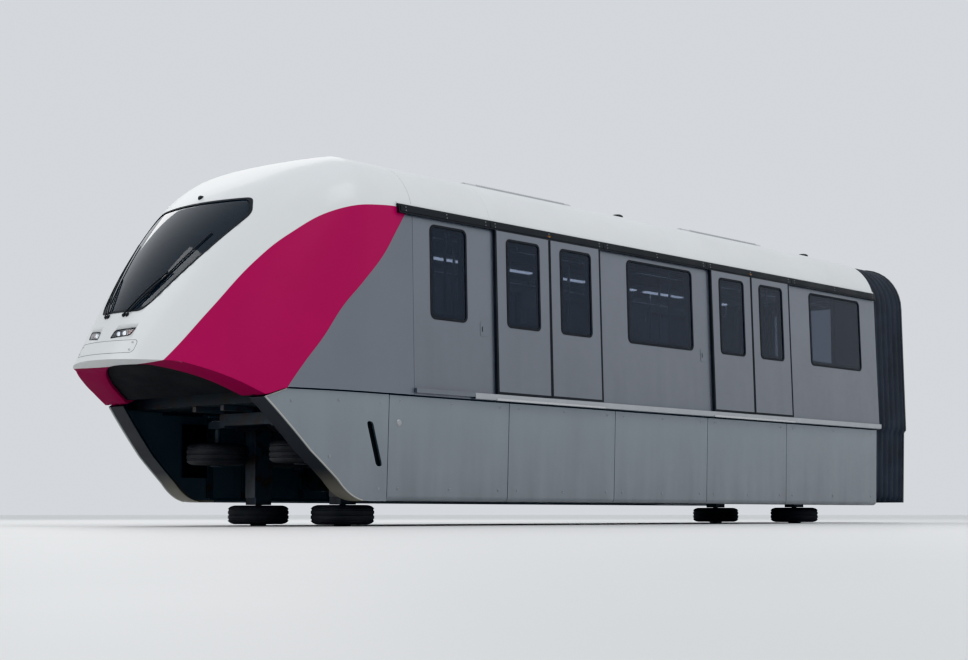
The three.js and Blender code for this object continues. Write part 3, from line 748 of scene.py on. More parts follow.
def nose_mask():
    crown = [[[(x, y, z) for x in (NOSE_JOINT, NOSE_START)] for y in (FLAT_HALF, -FLAT_HALF)]
             for z in (ROOF, ROOF - MASK_WALL)]
    shell = build("nose_mask_shell", [panel(mask_rows(), mask_rows(MASK_WALL)), panel(*crown)],
                  "livery lining", slot="white_paint", replaces="nose_mask", smooth=40)
    carve(shell, [prism(screen_outline(), "x", 10.7, 13.2),
                  *both(prism(lamp_outline(), "x", 11.2, 13.2))])
    for face in shell.data.polygons:
        face.material_index = int(face.center.x - AFT < NOSE_JOINT + 0.01)
    start = next(t for t in between(0, 1, 200) if edge_point(math.pi / 2 * t)[0] > CHIN_REAR)
    turns = [math.pi / 2 * t for t in between(start, 1, 60)]
    under = [[edge_point(turn, depth, rise) for turn in turns] for depth, rise in CHIN_ROWS]
    over = [[edge_point(turn, max(depth, 0.014), CHIN_WALL) for turn in turns]
            for depth, _ in CHIN_ROWS]
    build("nose_chin", [panel(whole_width(under), whole_width(over))], "chin", slot="white_paint",
          smooth=50)


# Windscreen and lamp corners seen from the front: half width, Z, and which way an inset moves them
SCREEN_CORNERS = [(0.31, 1.14, -1, 1), (0.39, 1.22, -1, 0), (0.86, 2.18, -1, 0), (0.75, 2.36, -1, -1)]
LAMP_CORNERS = [(0.10, 0.85, 1, 1), (0.345, 0.87, -1, 1), (0.375, 0.955, -1, -1), (0.12, 0.935, 1, -1)]


def inset_corners(corners, inset):
    return [(y + across * inset, z + rise * inset) for y, z, across, rise in corners]


def screen_outline(inset=0.0):
    return resampled(softened(symmetric(inset_corners(SCREEN_CORNERS, inset)), 0.07, 8), 280)


def lamp_outline(inset=0.0):
    return resampled(softened(inset_corners(LAMP_CORNERS, inset), 0.025, 6), 100)


def on_nose(outline, inset):
    return [(nose_x(y, z, inset), y, z) for y, z in outline]


def nose_patch(outline, near, far, rings=4):
    """A pane that follows the nose inside an outline drawn in (y, z)."""
    middle = Vector([sum(spots) / len(outline) for spots in zip(*outline)])
    flat = [[tuple(middle.lerp(Vector(p), 1 - t * 0.999)) for p in outline]
            for t in between(0, 1, rings)]
    near_layer, far_layer = ([on_nose(ring, inset) for ring in flat] for inset in (near, far))
    return loops(near_layer[::-1] + far_layer, caps=True)


def nose_band(outer, inner, near, far):
    return framed(outer, inner, near, far, on_nose)


# Roof, windows and doors

def on_wall(outline, offset):
    """An outline drawn in (x, z), laid on the side wall's line."""
    return [(x, side_y(z) + offset, z) for x, z in outline]


def wall_band(outer, inner, near, out):
    return framed(outer, inner, near, out, on_wall)


def wall_pane(outline, near, out):
    return loops([on_wall(outline, near), on_wall(outline, out)], caps=True)


def wall_strip(x0, x1, z0, z1, near, out):
    return prism([(side_y(z) + depth, z) for z, depth in ((z0, near), (z0, out), (z1, out), (z1, near))],
                 "x", x0, x1)


# Start and end of each unit's tray along X, and of the ribbed strips to walk on
ROOF_UNITS = {"rear": (1.7, 3.7), "front": (6.1, 8.1)}
TREADS = [(0.25, 1.25), (4.05, 4.8), (5.0, 5.75), (8.45, 9.6)]
TRAY_HALF = 0.7
TRAY_FLOOR = 2.79
TRAY_WALL = 0.03
ROOF_SEAMS = [1.35, 4.9, 8.6]


def roof_row(x, inset):
    """The roof's outline at a station, from the left split over the crown to the right one."""
    start = math.degrees(math.asin((ROOF_SPLIT - CANTRAIL) / (SHOULDER - inset)))
    left = arc(FLAT_HALF, CANTRAIL, SHOULDER - inset, start, 90, 20) + [(TRAY_HALF, ROOF - inset)]
    return drawn(symmetric(left), x, "x")


def roof():
    stations = [(x, 0) for ends in ROOF_UNITS.values() for x in ends] + [(0, 0), (NOSE_JOINT - 0.004, 0)]
    for seam in ROOF_SEAMS:
        stations += [(seam - 0.005, 0), (seam, 0.004), (seam + 0.005, 0)]
    stations.sort()
    outer = [roof_row(x, sunk) for x, sunk in stations]
    middle = len(outer[0]) // 2 - 1
    holes = [(r, middle) for r, (x, _) in enumerate(stations[:-1])
             if any(a <= x < b for a, b in ROOF_UNITS.values())]
    parts = [panel(outer, [roof_row(x, WALL) for x, _ in stations], holes)]
    half, low, high = TRAY_HALF, TRAY_FLOOR, ROOF - 0.001
    for a, b in ROOF_UNITS.values():
        start, end = a - TRAY_WALL, b + TRAY_WALL
        parts += [cuboid(start, end, -half - TRAY_WALL, half + TRAY_WALL, low - TRAY_WALL, low),
                  *both(cuboid(a, b, half, half + TRAY_WALL, low, high)),
                  cuboid(start, a, -half, half, low, high), cuboid(b, end, -half, half, low, high)]
    parts += both(wall_strip(0.0, 10.1, TRACK_TOP + 0.006, TRACK_TOP + 0.024, -0.004, 0.016))
    build("roof_shell", parts, "white", slot="white_paint", replaces="roof", smooth=30)
    ribs = [cuboid(x0, x1, y - 0.02, y + 0.02, ROOF - 0.002, ROOF + 0.007)
            for x0, x1 in TREADS for y in spaced(-0.6, 0.15, 9)]
    build("roof_tread", ribs, "unit", slot="skirt_paint", bevel=0.003)


def window(name, x0, x1, top, face=0.0, corner=0.06, **how):
    """Glass with its black border, set in a rubber seal that laps the panel's edge by a little."""
    def line(inset, radius):
        return rounded(x0 + inset, x1 - inset, WINDOW_BOTTOM + inset, top - inset, radius)

    seal_out, seal_in = line(-0.014, corner + 0.014), line(0.012, corner - 0.012)
    pair(f"{name}_seal", [wall_band(seal_out, seal_in, face + GAP, face + 0.005),
                          wall_band(line(0.001, corner), seal_in, face - 0.026, face + GAP)],
         "seal", bevel=0.0015, **how)
    pair(f"{name}_border", [wall_band(seal_in, line(0.052, corner - 0.02), face - 0.012, face - 0.0095)],
         "frit", **how)
    pair(f"{name}_glass", [wall_pane(seal_in, face - 0.009, face - 0.004)], "glass",
         slot="tinted_glass", **how)


def door_leaf(doorway, middle, leaf, way):
    body, name = f"leaf_{{}}_{doorway}_{leaf}", f"door_{{}}_{doorway}_{leaf}"
    near = middle + way * LEAF_MEETING / 2
    end = near + way * LEAF_WIDTH
    centre = (near + end) / 2
    window(f"{name}_window", centre - 0.28, centre + 0.28, WINDOW_TOP - 0.02, LEAF_OUTER, 0.05,
           body=body)
    low, high = LEAF_BOTTOM + 0.002, LEAF_TOP - 0.002
    spans = [(near - way * 0.002, near + way * 0.018, high),
             (end - way * 0.024, end + way * 0.003, high),
             (near + way * 0.018, end - way * 0.024, low + 0.026)]
    rubbers = [wall_strip(*sorted((a, b)), low, top, LEAF_INNER + 0.001, LEAF_OUTER + 0.0025)
               for a, b, top in spans]
    pair(f"{name}_rubber", rubbers, "seal", body=body, bevel=0.003)
    outer = rounded(centre - 0.43, centre + 0.43, 0.5, 2.2, 0.05)
    inner = rounded(centre - 0.29, centre + 0.29, WINDOW_BOTTOM - 0.012, WINDOW_TOP - 0.006, 0.06)
    pair(f"{name}_lining", [wall_band(outer, inner, LEAF_INNER + GAP, LEAF_INNER + 0.004)], "lining",
         body=body, slot="interior_panel")


def door_surround(doorway, middle):
    name = f"doorway_{{}}_{doorway}"
    x0, x1 = middle - 0.98, middle + 0.98
    sill = [wall_strip(x0, x1, 0.372, 0.393, 0.001, 0.052),
            wall_strip(x0, x1, 0.393, 0.397, 0.040, 0.052)]
    pair(f"{name}_sill", sill, "bright", slot="frame_steel", bevel=0.004)
    lamp = rounded(middle - 0.03, middle + 0.03, 2.330, 2.350, 0.0095)
    pair(f"{name}_lamp", [wall_pane(lamp, 0.035, 0.045)], "amber", bevel=0.003)
    flap = [wall_pane(rounded(middle + 1.07, middle + 1.19, 1.08, 1.24, 0.02), GAP, 0.004),
            (*wall_pane(rounded(middle + 1.15, middle + 1.165, 1.13, 1.19, 0.007), 0.004, 0.0055), 1)]
    pair(f"{name}_release", flap, "silver seal", bevel=0.0015)
    plate = FLOOR_TOP + 0.006
    threshold = [cuboid(middle - 0.79, middle + 0.79, 1.36, 1.528, FLOOR_TOP + GAP, plate)]
    threshold += [cuboid(middle - 0.78, middle + 0.78, y, y + 0.012, plate, plate + 0.003)
                  for y in spaced(1.375, 0.026, 6)]
    pair(f"{name}_threshold", threshold, "bright", bevel=0.001)


def wall_pieces():
    for name, (x0, x1) in SIDE_WINDOWS.items():
        window(f"window_{{}}_{name}", x0, x1, WINDOW_TOP)
    for doorway, middle in DOORWAYS.items():
        for leaf, way in WAYS.items():
            door_leaf(doorway, middle, leaf, way)
        door_surround(doorway, middle)
    # The rail's bright face runs under the doors from the rear end to just ahead of the front door
    rail = [wall_strip(0.02, 8.95, 0.376, 0.441, RAIL_FACE, 0.043),
            wall_strip(0.02, 8.95, 0.376, 0.381, 0.002, RAIL_FACE)]
    pair("waist_rail_{}", rail, "rail", slot="silver_paint", bevel=0.002)
    covers, screws = [], []
    joints = [0.02, 2.35, 4.41, 6.6, 8.65, 10.08]
    for a, b in zip(joints, joints[1:]):
        covers.append(wall_strip(a + 0.003, b - 0.003, 2.318, 2.384, RAIL_FACE, RAIL_FACE + 0.005))
        screws += [lathe([(0.007, 0), (0.007, 0.003), (0.0045, 0.004)], "y",
                         (x, side_y(z) + RAIL_FACE + 0.004, z), 8)
                   for x in (a + 0.08, (a + b) / 2, b - 0.08) for z in (2.333, 2.369)]
    pair("track_cover_{}", covers, "black", slot="black_trim", bevel=0.003)
    pair("track_screws_{}", screws, "lock")


# Skirts and gangway

def skirt_outline():
    foot, radius, top = skirt_y(SKIRT_BOTTOM), 0.06, skirt_y(SKIRT_TOP)
    corner = (foot - radius, SKIRT_BOTTOM + radius)
    return [(top, SKIRT_TOP), (top - SKIRT_WALL, SKIRT_TOP), (skirt_y(0.25) - SKIRT_WALL, 0.249),
            (1.3, 0.249), (1.3, 0.225), (skirt_y(0.225) - SKIRT_WALL, 0.225),
            *arc(*corner, radius - SKIRT_WALL, 0, -90, 6),
            (foot - 0.13, SKIRT_BOTTOM + SKIRT_WALL), (foot - 0.13, SKIRT_BOTTOM),
            *arc(*corner, radius, -90, 0, 8)]


def skirt_rib(x, half, gap, foot_depth, top_depth):
    """Upright rib behind a skirt panel."""
    top, foot = skirt_y(0.22), skirt_y(-0.7)
    outline = [(top - SKIRT_WALL - gap, 0.22), (foot - SKIRT_WALL - gap, -0.7),
               (foot - foot_depth, -0.7), (top - top_depth, 0.22)]
    return prism(outline, "x", x - half, x + half)


def side_skirts():
    outline = skirt_outline()
    spans = list(zip(SKIRT_JOINTS, SKIRT_JOINTS[1:]))
    pair("skirt_panels_{}", [prism(outline, "x", a + 0.004, b - 0.004) for a, b in spans], "skirt",
         slot="skirt_paint", replaces="side_skirt_{}", bevel=0.0035, segments=3)
    locks, slots, ribs = [], [], []
    for a, b in spans:
        for x in (a + 0.16, (a + b) / 2, b - 0.16):
            for z in (0.30, -0.62):
                y = skirt_y(z)
                locks.append(lathe(SKIRT_LOCK, "y", (x, y - 0.003, z), 16))
                # A dark bar on each lock head: painted shade in its slot.
                slots.append(cuboid(x - 0.009, x + 0.009, y + 0.002, y + 0.0032, z - 0.0015, z + 0.0015))
        ribs += [skirt_rib(x, 0.02, 0, 0.06, 0.075) for x in (a + 0.5, b - 0.5)]
    ribs += [skirt_rib(x, 0.045, 0.001, 0.05, 0.05) for x in SKIRT_JOINTS[1:]]
    pair("skirt_locks_{}", locks, "lock")
    pair("skirt_lock_slots_{}", slots, "hollow")
    pair("skirt_ribs_{}", ribs, "frame", bevel=0.002)
    x, z = SKIRT_BUTTON
    button = lathe([(0.036, 0), (0.036, 0.004), (0.030, 0.009), (0.012, 0.0105)], "y",
                   (x, skirt_y(z) - 0.003, z), 28)
    pair("skirt_button_{}", [button], "rail", smooth=50)


def skirt_lead(z):
    """X of the front skirt's leading edge at a height."""
    if z >= 0.275:
        return 11.725 + (11.51 - 11.725) * (z - 0.275) / 0.085
    if z >= -0.25:
        return 11.22 + (11.725 - 11.22) * (z + 0.25) / 0.525
    if z >= -0.54:
        return 10.88 + (11.22 - 10.88) * (z + 0.54) / 0.29
    t = 1 - math.sqrt(max((z - SKIRT_BOTTOM) / 0.21, 0.0))
    return (1 - t) ** 2 * 10.88 + 2 * t * (1 - t) * 10.70 + t * t * 10.45


def skirt_nose(x, z, inset=0.0):
    along = max(x - NOSE_START, 0) / (NOSE_REACH - inset)
    return (x, skirt_y(z, inset) * math.sqrt(max(1 - along * along, 0)), z)


def front_skirts():
    heights = sorted(between(SKIRT_BOTTOM, SKIRT_TOP, 60)
                     + [0.275, SKIRT_BOTTOM + 0.003, SKIRT_BOTTOM + 0.009])
    skin = [[[skirt_nose(x, z, inset) for x in between(SKIRT_FRONT, skirt_lead(z), 36)]
             for z in heights] for inset in (0, SKIRT_WALL)]
    (x0, z0), (x1, z1), half = (10.325, -0.39), (10.48, 0.07), 0.044
    slot = softened([(x0 - half, z0), (x0 + half, z0), (x1 + half, z1), (x1 - half, z1)], 0.040, 6)
    for side, sign in SIDES.items():
        shell = build(f"front_skirt_{side}_shell", [panel(*skin)], "skirt", slot="skirt_paint",
                      replaces=f"front_skirt_{side}", sign=sign)
        carve(shell, [prism(slot, "y", 1.40, 1.60)], sign)
        round_edges(shell, 0.006, 3)
    depths = [SKIRT_WALL * 0.9, 0.08, 0.14, 0.20, 0.25]
    front_face = [[[skirt_nose(skirt_lead(z) - back, z, depth) for depth in depths] for z in heights]
                  for back in (GAP, 0.036)]
    # The bottom lip under the return takes the light lip paint: a painted reflection of the lit beam.
    low = [[skirt_nose(x, SKIRT_BOTTOM + GAP, depth) for x in between(SKIRT_FRONT + 0.002, 10.442, 8)]
           for depth in (depths[0], 0.13)]
    high = [[(x, y, SKIRT_BOTTOM + SKIRT_WALL) for x, y, _ in row] for row in low]
    # The return's face is painted shade at the top and a painted reflection of the lit beam at its lower
    # corner.
    inside = [panel(*front_face), (*panel(low, high), 1),
              cuboid(10.42, 10.88, 1.30, 1.462, 0.225, 0.249)]
    pair("front_skirt_{}_return", inside, "return lip", bevel=0.003)
    # A light trim along the leading edge: a painted highlight where the edge catches the sky.
    edge = [skirt_nose(skirt_lead(z) - 0.004, z, 0.005) for z in heights[2:]]
    pair("front_skirt_{}_edge", [pipe(edge, 0.0075)], "lip")
    # A dark sheet behind the slot: painted shade inside the skirt.
    backing = [[[skirt_nose(x, z, SKIRT_WALL + depth) for x in (10.23, 10.35, 10.47, 10.60)]
                for z in (-0.47, -0.2, 0.14)] for depth in (0.012, 0.018)]
    pair("front_skirt_{}_slot", [panel(*backing)], "hollow")
    locks = [lathe(SKIRT_LOCK, "y", (x, skirt_nose(x, z)[1] - 0.003, z), 16)
             for x, z in ((10.33, 0.27), (10.33, -0.62), (10.9, 0.27), (11.45, 0.24), (11.0, -0.30))]
    pair("front_skirt_{}_locks", locks, "lock")


PASSAGE_HALF = 0.8
PASSAGE_TOP = 2.35
RAIL_BOTTOM = 0.395
END_FRAME = 0.03
FOLDS = 11
DRAWBAR_Z = 0.13


def gangway_outline(inset):
    outline = [(0.62, -0.72 + inset), (1.44 - inset, -0.72 + inset), (1.48 - inset, 0.35),
               (1.515 - inset, 0.39)]
    outline = symmetric(outline + arc(FLAT_HALF, CANTRAIL, SHOULDER - inset, 0, 90, 12))
    return resampled(outline + [(-0.62, 0.24 - inset * 0.2), (0.62, 0.24 - inset * 0.2)], 150)


def passage(grow, low, radius):
    return rounded(-PASSAGE_HALF - grow, PASSAGE_HALF + grow, low, PASSAGE_TOP + grow, radius, 8)


def bellows():
    start, end = -GANGWAY + END_FRAME + GAP, -GAP
    total = FOLDS * 8

    def skin(outline_at, wall):
        outer, inner = [], []
        for k, x in enumerate(between(start, end, total)):
            wave = math.cos(2 * math.pi * k / total * FOLDS / 2)
            swell = 0.5 + 0.5 * math.copysign(abs(wave) ** 0.7, wave)
            outer.append(drawn(outline_at(swell, 0.0), x, "x"))
            inner.append(drawn(outline_at(swell, wall), x, "x"))
        return loops(outer + inner[::-1], closed=True)

    def outside(swell, wall):
        return gangway_outline(0.068 - 0.040 * swell + wall)

    def inside(swell, wall):
        grow = 0.030 * (1 - swell) - wall
        return passage(grow, RAIL_BOTTOM + 0.002, 0.1)

    build("gangway_folds", [skin(outside, 0.008), skin(inside, -0.008)], "bellows",
          slot="bellows_rubber", replaces="gangway_bellows", smooth=60)
    frames = []
    for k, x in enumerate(between(start, end, FOLDS)[1:-1]):
        sunk = 0.0265 if k % 2 else 0.0665
        frames.append(loops([drawn(gangway_outline(inset), x + dx, "x") for inset, dx in (
            (sunk, -0.004), (sunk, 0.004), (sunk + 0.012, 0.004), (sunk + 0.012, -0.004))], closed=True))
    build("gangway_fold_frames", frames, "seal", slot="bellows_rubber")


def gangway_ends():
    face = -GANGWAY - GAP
    hooks, pins = [], []
    for z in (0.6, 1.3, 2.0):
        hook = softened([(-0.895, z - 0.05), (-0.835, z - 0.05), (-0.835, z + 0.05), (-0.895, z + 0.02)],
                        0.012)
        hooks.append(prism([(max(x, -GANGWAY - 0.012), up) for x, up in hook], "y", 1.0, 1.025))
        pins.append(lathe([(0.016, 0.985), (0.016, 1.04), (0.010, 1.046)], "y", (-0.865, 0, z), 14))
    build("gangway_latches", both(*hooks), "cast", bevel=0.003)
    build("gangway_latch_pins", both(*pins), "bright", bevel=0.001)
    bolts = both(*(bolt("x", (face, 1.25, z), 0.014, -1) for z in spaced(0.5, 0.22, 9)))
    bolts += [bolt("x", (face, y, 2.62), 0.014, -1) for y in spaced(-0.75, 0.25, 7)]
    build("gangway_bolts", bolts, "bright")
    gasket = [drawn(passage(grow, RAIL_BOTTOM - grow * 0.3, 0.11), x - GANGWAY, "x")
              for x, grow in ((-0.010, 0.015), (-0.010, 0.045), (0, 0.055), (0, 0.005))]
    build("gangway_gasket", [loops(gasket, closed=True)], "seal", bevel=0.002)
    spots = [(-0.82 + 0.09 * row, -0.66 + 0.088 * k + (0.044 if row % 2 else 0))
             for row in range(9) for k in range(16)]
    tread = [lathe([(0.016, 0), (0.010, 0.0025)], "z", (x, y, FLOOR_TOP + GAP), 8)
             for x, y in spots if y < 0.68]
    build("gangway_tread", tread, "bright")
    flange = [lathe([(0.128, -GAP), (0.128, -0.012), (0.120, -0.016), (0.05, -0.016)], "x",
                    (-GANGWAY, 0, DRAWBAR_Z))]
    flange += [(*bolt("x", (-GANGWAY - 0.016, a, DRAWBAR_Z + b), 0.014, -1), 1)
               for a, b in circle(0.095, 8, 0.5)]
    build("drawbar_flange", flange, "cast bright")


# Running gear

def tyre_profile(radius, half, bead, grooves=(-0.5, 0.0, 0.5)):
    outer = [(bead, -half * 0.70), (bead + 0.012, -half * 0.86), (bead + 0.03, -half * 0.90),
             (bead + (radius - bead) * 0.45, -half * 0.99), (radius - 0.045, -half * 0.93),
             (radius - 0.022, -half * 0.84), (radius - 0.004, -half * 0.68)]
    tread = [(radius - deep, spot * half + across) for spot in grooves
             for deep, across in ((0, -0.011), (0.009, -0.006), (0.009, 0.006), (0, 0.011))]
    return outer + tread + [(r, -h) for r, h in outer[::-1]]


# Profiles as (radius, height in half widths of the wheel)
DISH = [(0.038, -0.5), (0.075, -0.5), (0.080, -0.40), (0.105, -0.35), (0.165, -0.42), (0.178, -0.80),
        (0.205, -0.88), (0.214, -0.84), (0.214, 0.84), (0.205, 0.88), (0.178, 0.80), (0.165, 0.2),
        (0.105, 0.1), (0.080, 0.5), (0.038, 0.5)]
HUB = [(0.0365, -0.62), (0.058, -0.62), (0.066, -0.5), (0.066, 0.62), (0.0365, 0.62)]


def side_wheel(name, node_name, body, centre, half):
    x, y, z = centre
    dish, hub = (ringed([(r, half * h) for r, h in profile], "z", centre, segments)
                 for profile, segments in ((DISH, 40), (HUB, 32)))
    tyre = ringed(tyre_profile(GUIDE_RADIUS, half, 0.212), "z", centre, 56)
    build(f"{name}_tyre", [tyre], "tyre", body, "tyre", node_name, smooth=30)
    build(f"{name}_rim", [dish], "rim", body, bevel=0.002)
    bolts = [bolt("z", (x + a, y + b, z + half * height), 0.013, way)
             for a, b in circle(0.132, 8) for height, way in ((-0.385, -1), (0.15, 1))]
    build(f"{name}_hub", bolts + [hub], "bright", body)


def wheelset(end, at_x):
    name, body = f"wheelset_{end}", f"axle_{end}"
    wheel, middle = (at_x, 0.165, AXLE_Z), (at_x, 0, AXLE_Z)
    tyre = ringed(tyre_profile(TYRE_RADIUS, 0.143, 0.292, (-0.6, -0.2, 0.2, 0.6)), "y", wheel, 72)
    build(f"{name}_tyres", both(tyre), "tyre", body, "tyre", f"load_wheelset_{end}", smooth=30)
    dish = ringed([(0.058, 0.135), (0.115, 0.132), (0.125, 0.085), (0.235, 0.06), (0.255, 0.115),
                   (0.288, 0.128), (0.294, 0.12), (0.294, -0.12), (0.27, -0.128), (0.058, -0.128)],
                  "y", wheel, 48)
    build(f"{name}_rims", both(dish), "rim", body, bevel=0.003)
    axle = lathe([(0.05, -0.462), (0.058, -0.455), (0.058, 0.455), (0.05, 0.462)], "y", middle)
    disc = lathe([(0.17, 0.335), (0.17, 0.343), (0.165, 0.345), (0.165, 0.351), (0.17, 0.353),
                  (0.17, 0.361)], "y", middle, 40)
    bolts = [bolt("y", (at_x + a, 0.235, AXLE_Z + b), 0.016) for a, b in circle(0.185, 10)]
    build(f"{name}_axle", [axle, *both(disc, *bolts)], "bright", body)


def bogie(end, at_x, way):
    name = body = f"bogie_{end}"

    def spot(x, y, z):
        return at_x + way * x, y, z

    def plate(outline, y0, y1):
        return prism([(at_x + way * x, z) for x, z in outline], "y", y0, y1)

    for side, sign in SIDES.items():
        for place_name, ahead in WAYS.items():
            guide = f"guide_{end}_{side}_{place_name}"
            side_wheel(guide, f"guide_wheel_{end}_{side}_{place_name}", guide,
                       (at_x + ahead * GUIDE_SPACING, sign * GUIDE_Y, GUIDE_Z), 0.12)
        side_wheel(f"stabiliser_{end}_{side}_wheel", f"stabiliser_{end}_{side}",
                   f"stabiliser_wheel_{end}_{side}", (at_x, sign * GUIDE_Y, STABILISER_Z), 0.105)
    wheelset(end, at_x)
    spring = spot(0, 0.8, 0)
    cast = [lathe([(0.125, 0.466), (0.125, 0.492), (0.112, 0.502), (0.060, 0.505), (0.055, 0.520),
                   (0.030, 0.522)], "y", spot(0, 0, AXLE_Z), 36),
            lathe([(0.185, 0.1205), (0.185, 0.128), (0.15, 0.132)], "z", spring),
            lathe([(0.17, 0.236), (0.18, 0.238), (0.18, 0.2465)], "z", spring)]
    bolts = [bolt("y", (at_x + a, 0.502, AXLE_Z + b), 0.011) for a, b in circle(0.094, 6)]
    bolts += [bolt("z", spot(x, 0.425, 0.2003), 0.013) for x in (-0.68, -0.45, 0.45, 0.6, 0.75, 0.88)]
    for x in (-GUIDE_SPACING, GUIDE_SPACING):
        bolts += [bolt("z", spot(x + dx, GUIDE_Y + dy, 0.1303), 0.009)
                  for dx, dy in ((-0.04, -0.06), (0.04, -0.06), (-0.04, 0.05), (0.04, 0.05))]
        cast.append(lathe([(0.062, 0.13), (0.062, 0.145), (0.05, 0.152), (0.02, 0.153)], "z",
                          spot(x, GUIDE_Y, 0), 24))
    bolts += [bolt("z", spot(dx, GUIDE_Y + dy, -1.0095), 0.010, 1, 0.004)
              for dx, dy in ((0.06, 0.0), (-0.06, 0.0), (0.0, 0.06), (0.0, -0.06))]
    for edge in (1, -1):
        leg = [(-0.115, -0.70), (-0.115, 0.02), (-0.135, 0.05), (-0.135, 0.0), (-0.125, -0.70)]
        cast.append(plate([(edge * x, z) for x, z in leg], GUIDE_Y - 0.085, GUIDE_Y + 0.085))
    lug = softened([(0.10, 0.52), (0.21, 0.50), (0.22, 0.66), (0.13, 0.68)], 0.02)
    cast.append(plate(lug, 0.365, 0.379))
    gear = softened([(0.06, 0.44), (0.10, 0.60), (0.62, 0.52), (0.66, 0.26), (0.55, 0.235)], 0.05)
    middle_parts = [plate([(0.60, 0.545), (0.85, 0.545), (0.85, 0.60), (0.60, 0.60)], -0.07, 0.07),
                    plate(gear, -0.016, 0.016)]
    hoses = [pipe(bent([spot(0.16, 0.372, 0.66), spot(0.30, 0.36, 0.62), spot(0.52, 0.44, 0.32),
                        spot(0.58, 0.44, 0.215)], 0.05), 0.011),
             pipe(bent([spot(0.60, 0.455, 0.215), spot(0.30, 0.52, 0.21), spot(0.17, 0.62, 0.145),
                        spot(0.17, 0.70, 0.14)], 0.06), 0.013)]
    motor = spot(0.725, 0, 0.375)
    fins = [ringed([(0.163, y - 0.004), (0.181, y - 0.003), (0.181, y + 0.003), (0.163, y + 0.004)],
                   "y", motor) for y in spaced(-0.21, 0.03, 15)]
    cover = lathe([(0.166, 0.318), (0.174, 0.320), (0.174, 0.33), (0.11, 0.345), (0.05, 0.35)],
                  "y", motor, 40)
    rings = [torus(spot(0, 0.8, z), 0.160, 0.021, 36, 10) for z in spaced(0.148, 0.037, 3)]
    build(f"motor_{end}_fins", fins, "cast", body, bevel=0.0015)
    build(f"motor_{end}_ends", both(cover), "cast", body, bevel=0.003)
    build(f"{name}_castings", both(*cast) + middle_parts, "cast", body, bevel=0.003)
    build(f"{name}_bolts", both(*bolts), "bright", body)
    build(f"{name}_air_springs", both(*rings), "tyre", body)
    build(f"{name}_hoses", both(*hoses), "seal", body)


CASE_BOTTOM = -0.606


def underfloor():
    lids, louvres, latches = [], [], []
    for k, a in enumerate(spaced(2.45, 1.05, 6)):
        lids += [cuboid(a + 0.02, a + 1.03, 0.60, 1.28, CASE_BOTTOM, -0.5995),
                 cuboid(a + 0.02, a + 1.03, 0.513, 0.5205, -0.50, 0.12)]
        latches += [lathe([(0.02, CASE_BOTTOM), (0.02, -0.612), (0.014, -0.614)], "z", (x, y, 0), 14)
                    for x in (a + 0.12, a + 0.93) for y in (0.66, 1.22)]
        if k % 2:
            louvres += [prism([(x, CASE_BOTTOM), (x + 0.04, CASE_BOTTOM), (x + 0.044, -0.613),
                               (x + 0.012, -0.618)], "y", 0.70, 1.18)
                        for x in spaced(a + 0.2, 0.055, 12)]
        else:
            louvres += [cuboid(a + 0.12, a + 0.93, y - 0.015, y + 0.015, -0.612, CASE_BOTTOM)
                        for y in (0.78, 0.94, 1.10)]
    pair("case_lids_{}", lids, "under", slot="black_trim", bevel=0.003)
    pair("case_louvres_{}", louvres, "black", bevel=0.0015)
    pair("case_latches_{}", latches, "bright")
    beams = [cuboid(x - 0.03, x + 0.03, -0.58, 0.58, 0.19, UNDERSIDE) for x in spaced(2.35, 0.56, 12)]
    beams += both(cuboid(2.3, 8.85, 0.535, 0.585, 0.17, UNDERSIDE),
                  cuboid(11.0, 11.4, 0.2, 0.26, 0.19, UNDERSIDE))
    build("underframe_beams", beams, "frame", slot="frame_steel", bevel=0.004)
    runs = [pipe([(2.2, y, 0.182), (5.0, y, 0.180), (8.9, y, 0.182)], 0.010 + 0.002 * (k % 2), 8)
            for k, y in enumerate((-0.34, -0.30, -0.26, 0.28, 0.33))]
    build("underframe_pipes", runs, "seal")
    clips = [cuboid(x - 0.012, x + 0.012, y0, y1, 0.166, 0.192)
             for x in spaced(2.35, 1.12, 6) for y0, y1 in ((-0.36, -0.24), (0.26, 0.35))]
    build("underframe_clips", clips, "bright", bevel=0.002)


# Roof units and aerials

def fan(x, top):
    """Guard rings with their spokes, and the hub with its blades, of a fan in a roof unit."""
    guards = [torus((x, 0, top), 0.270, 0.009, 56, 10)]
    guards += [torus((x, 0, top - 0.004), radius, 0.0025, 48, 6)
               for radius in (0.05, 0.09, 0.13, 0.17, 0.21, 0.245)]
    guards += [pipe([(x + a, b, top - 0.008), (x + c, d, top - 0.008)], 0.003, 6)
               for (a, b), (c, d) in zip(circle(0.02, 6, 0.5), circle(0.268, 6, 0.5))]
    wheel = [lathe([(0.07, top - 0.095), (0.07, top - 0.04), (0.05, top - 0.03)], "z", (x, 0, 0))]
    for turn in (2 * math.pi * k / 7 for k in range(7)):
        blade = [[[(x + r * math.cos(turn + d), r * math.sin(turn + d), top - 0.075 + lift - thick)
                   for d, lift in ((0.0, 0.0), (0.25, 0.02), (0.5, 0.035))] for r in (0.06, 0.15, 0.25)]
                 for thick in (0, 0.004)]
        wheel.append(panel(*blade))
    return guards, wheel


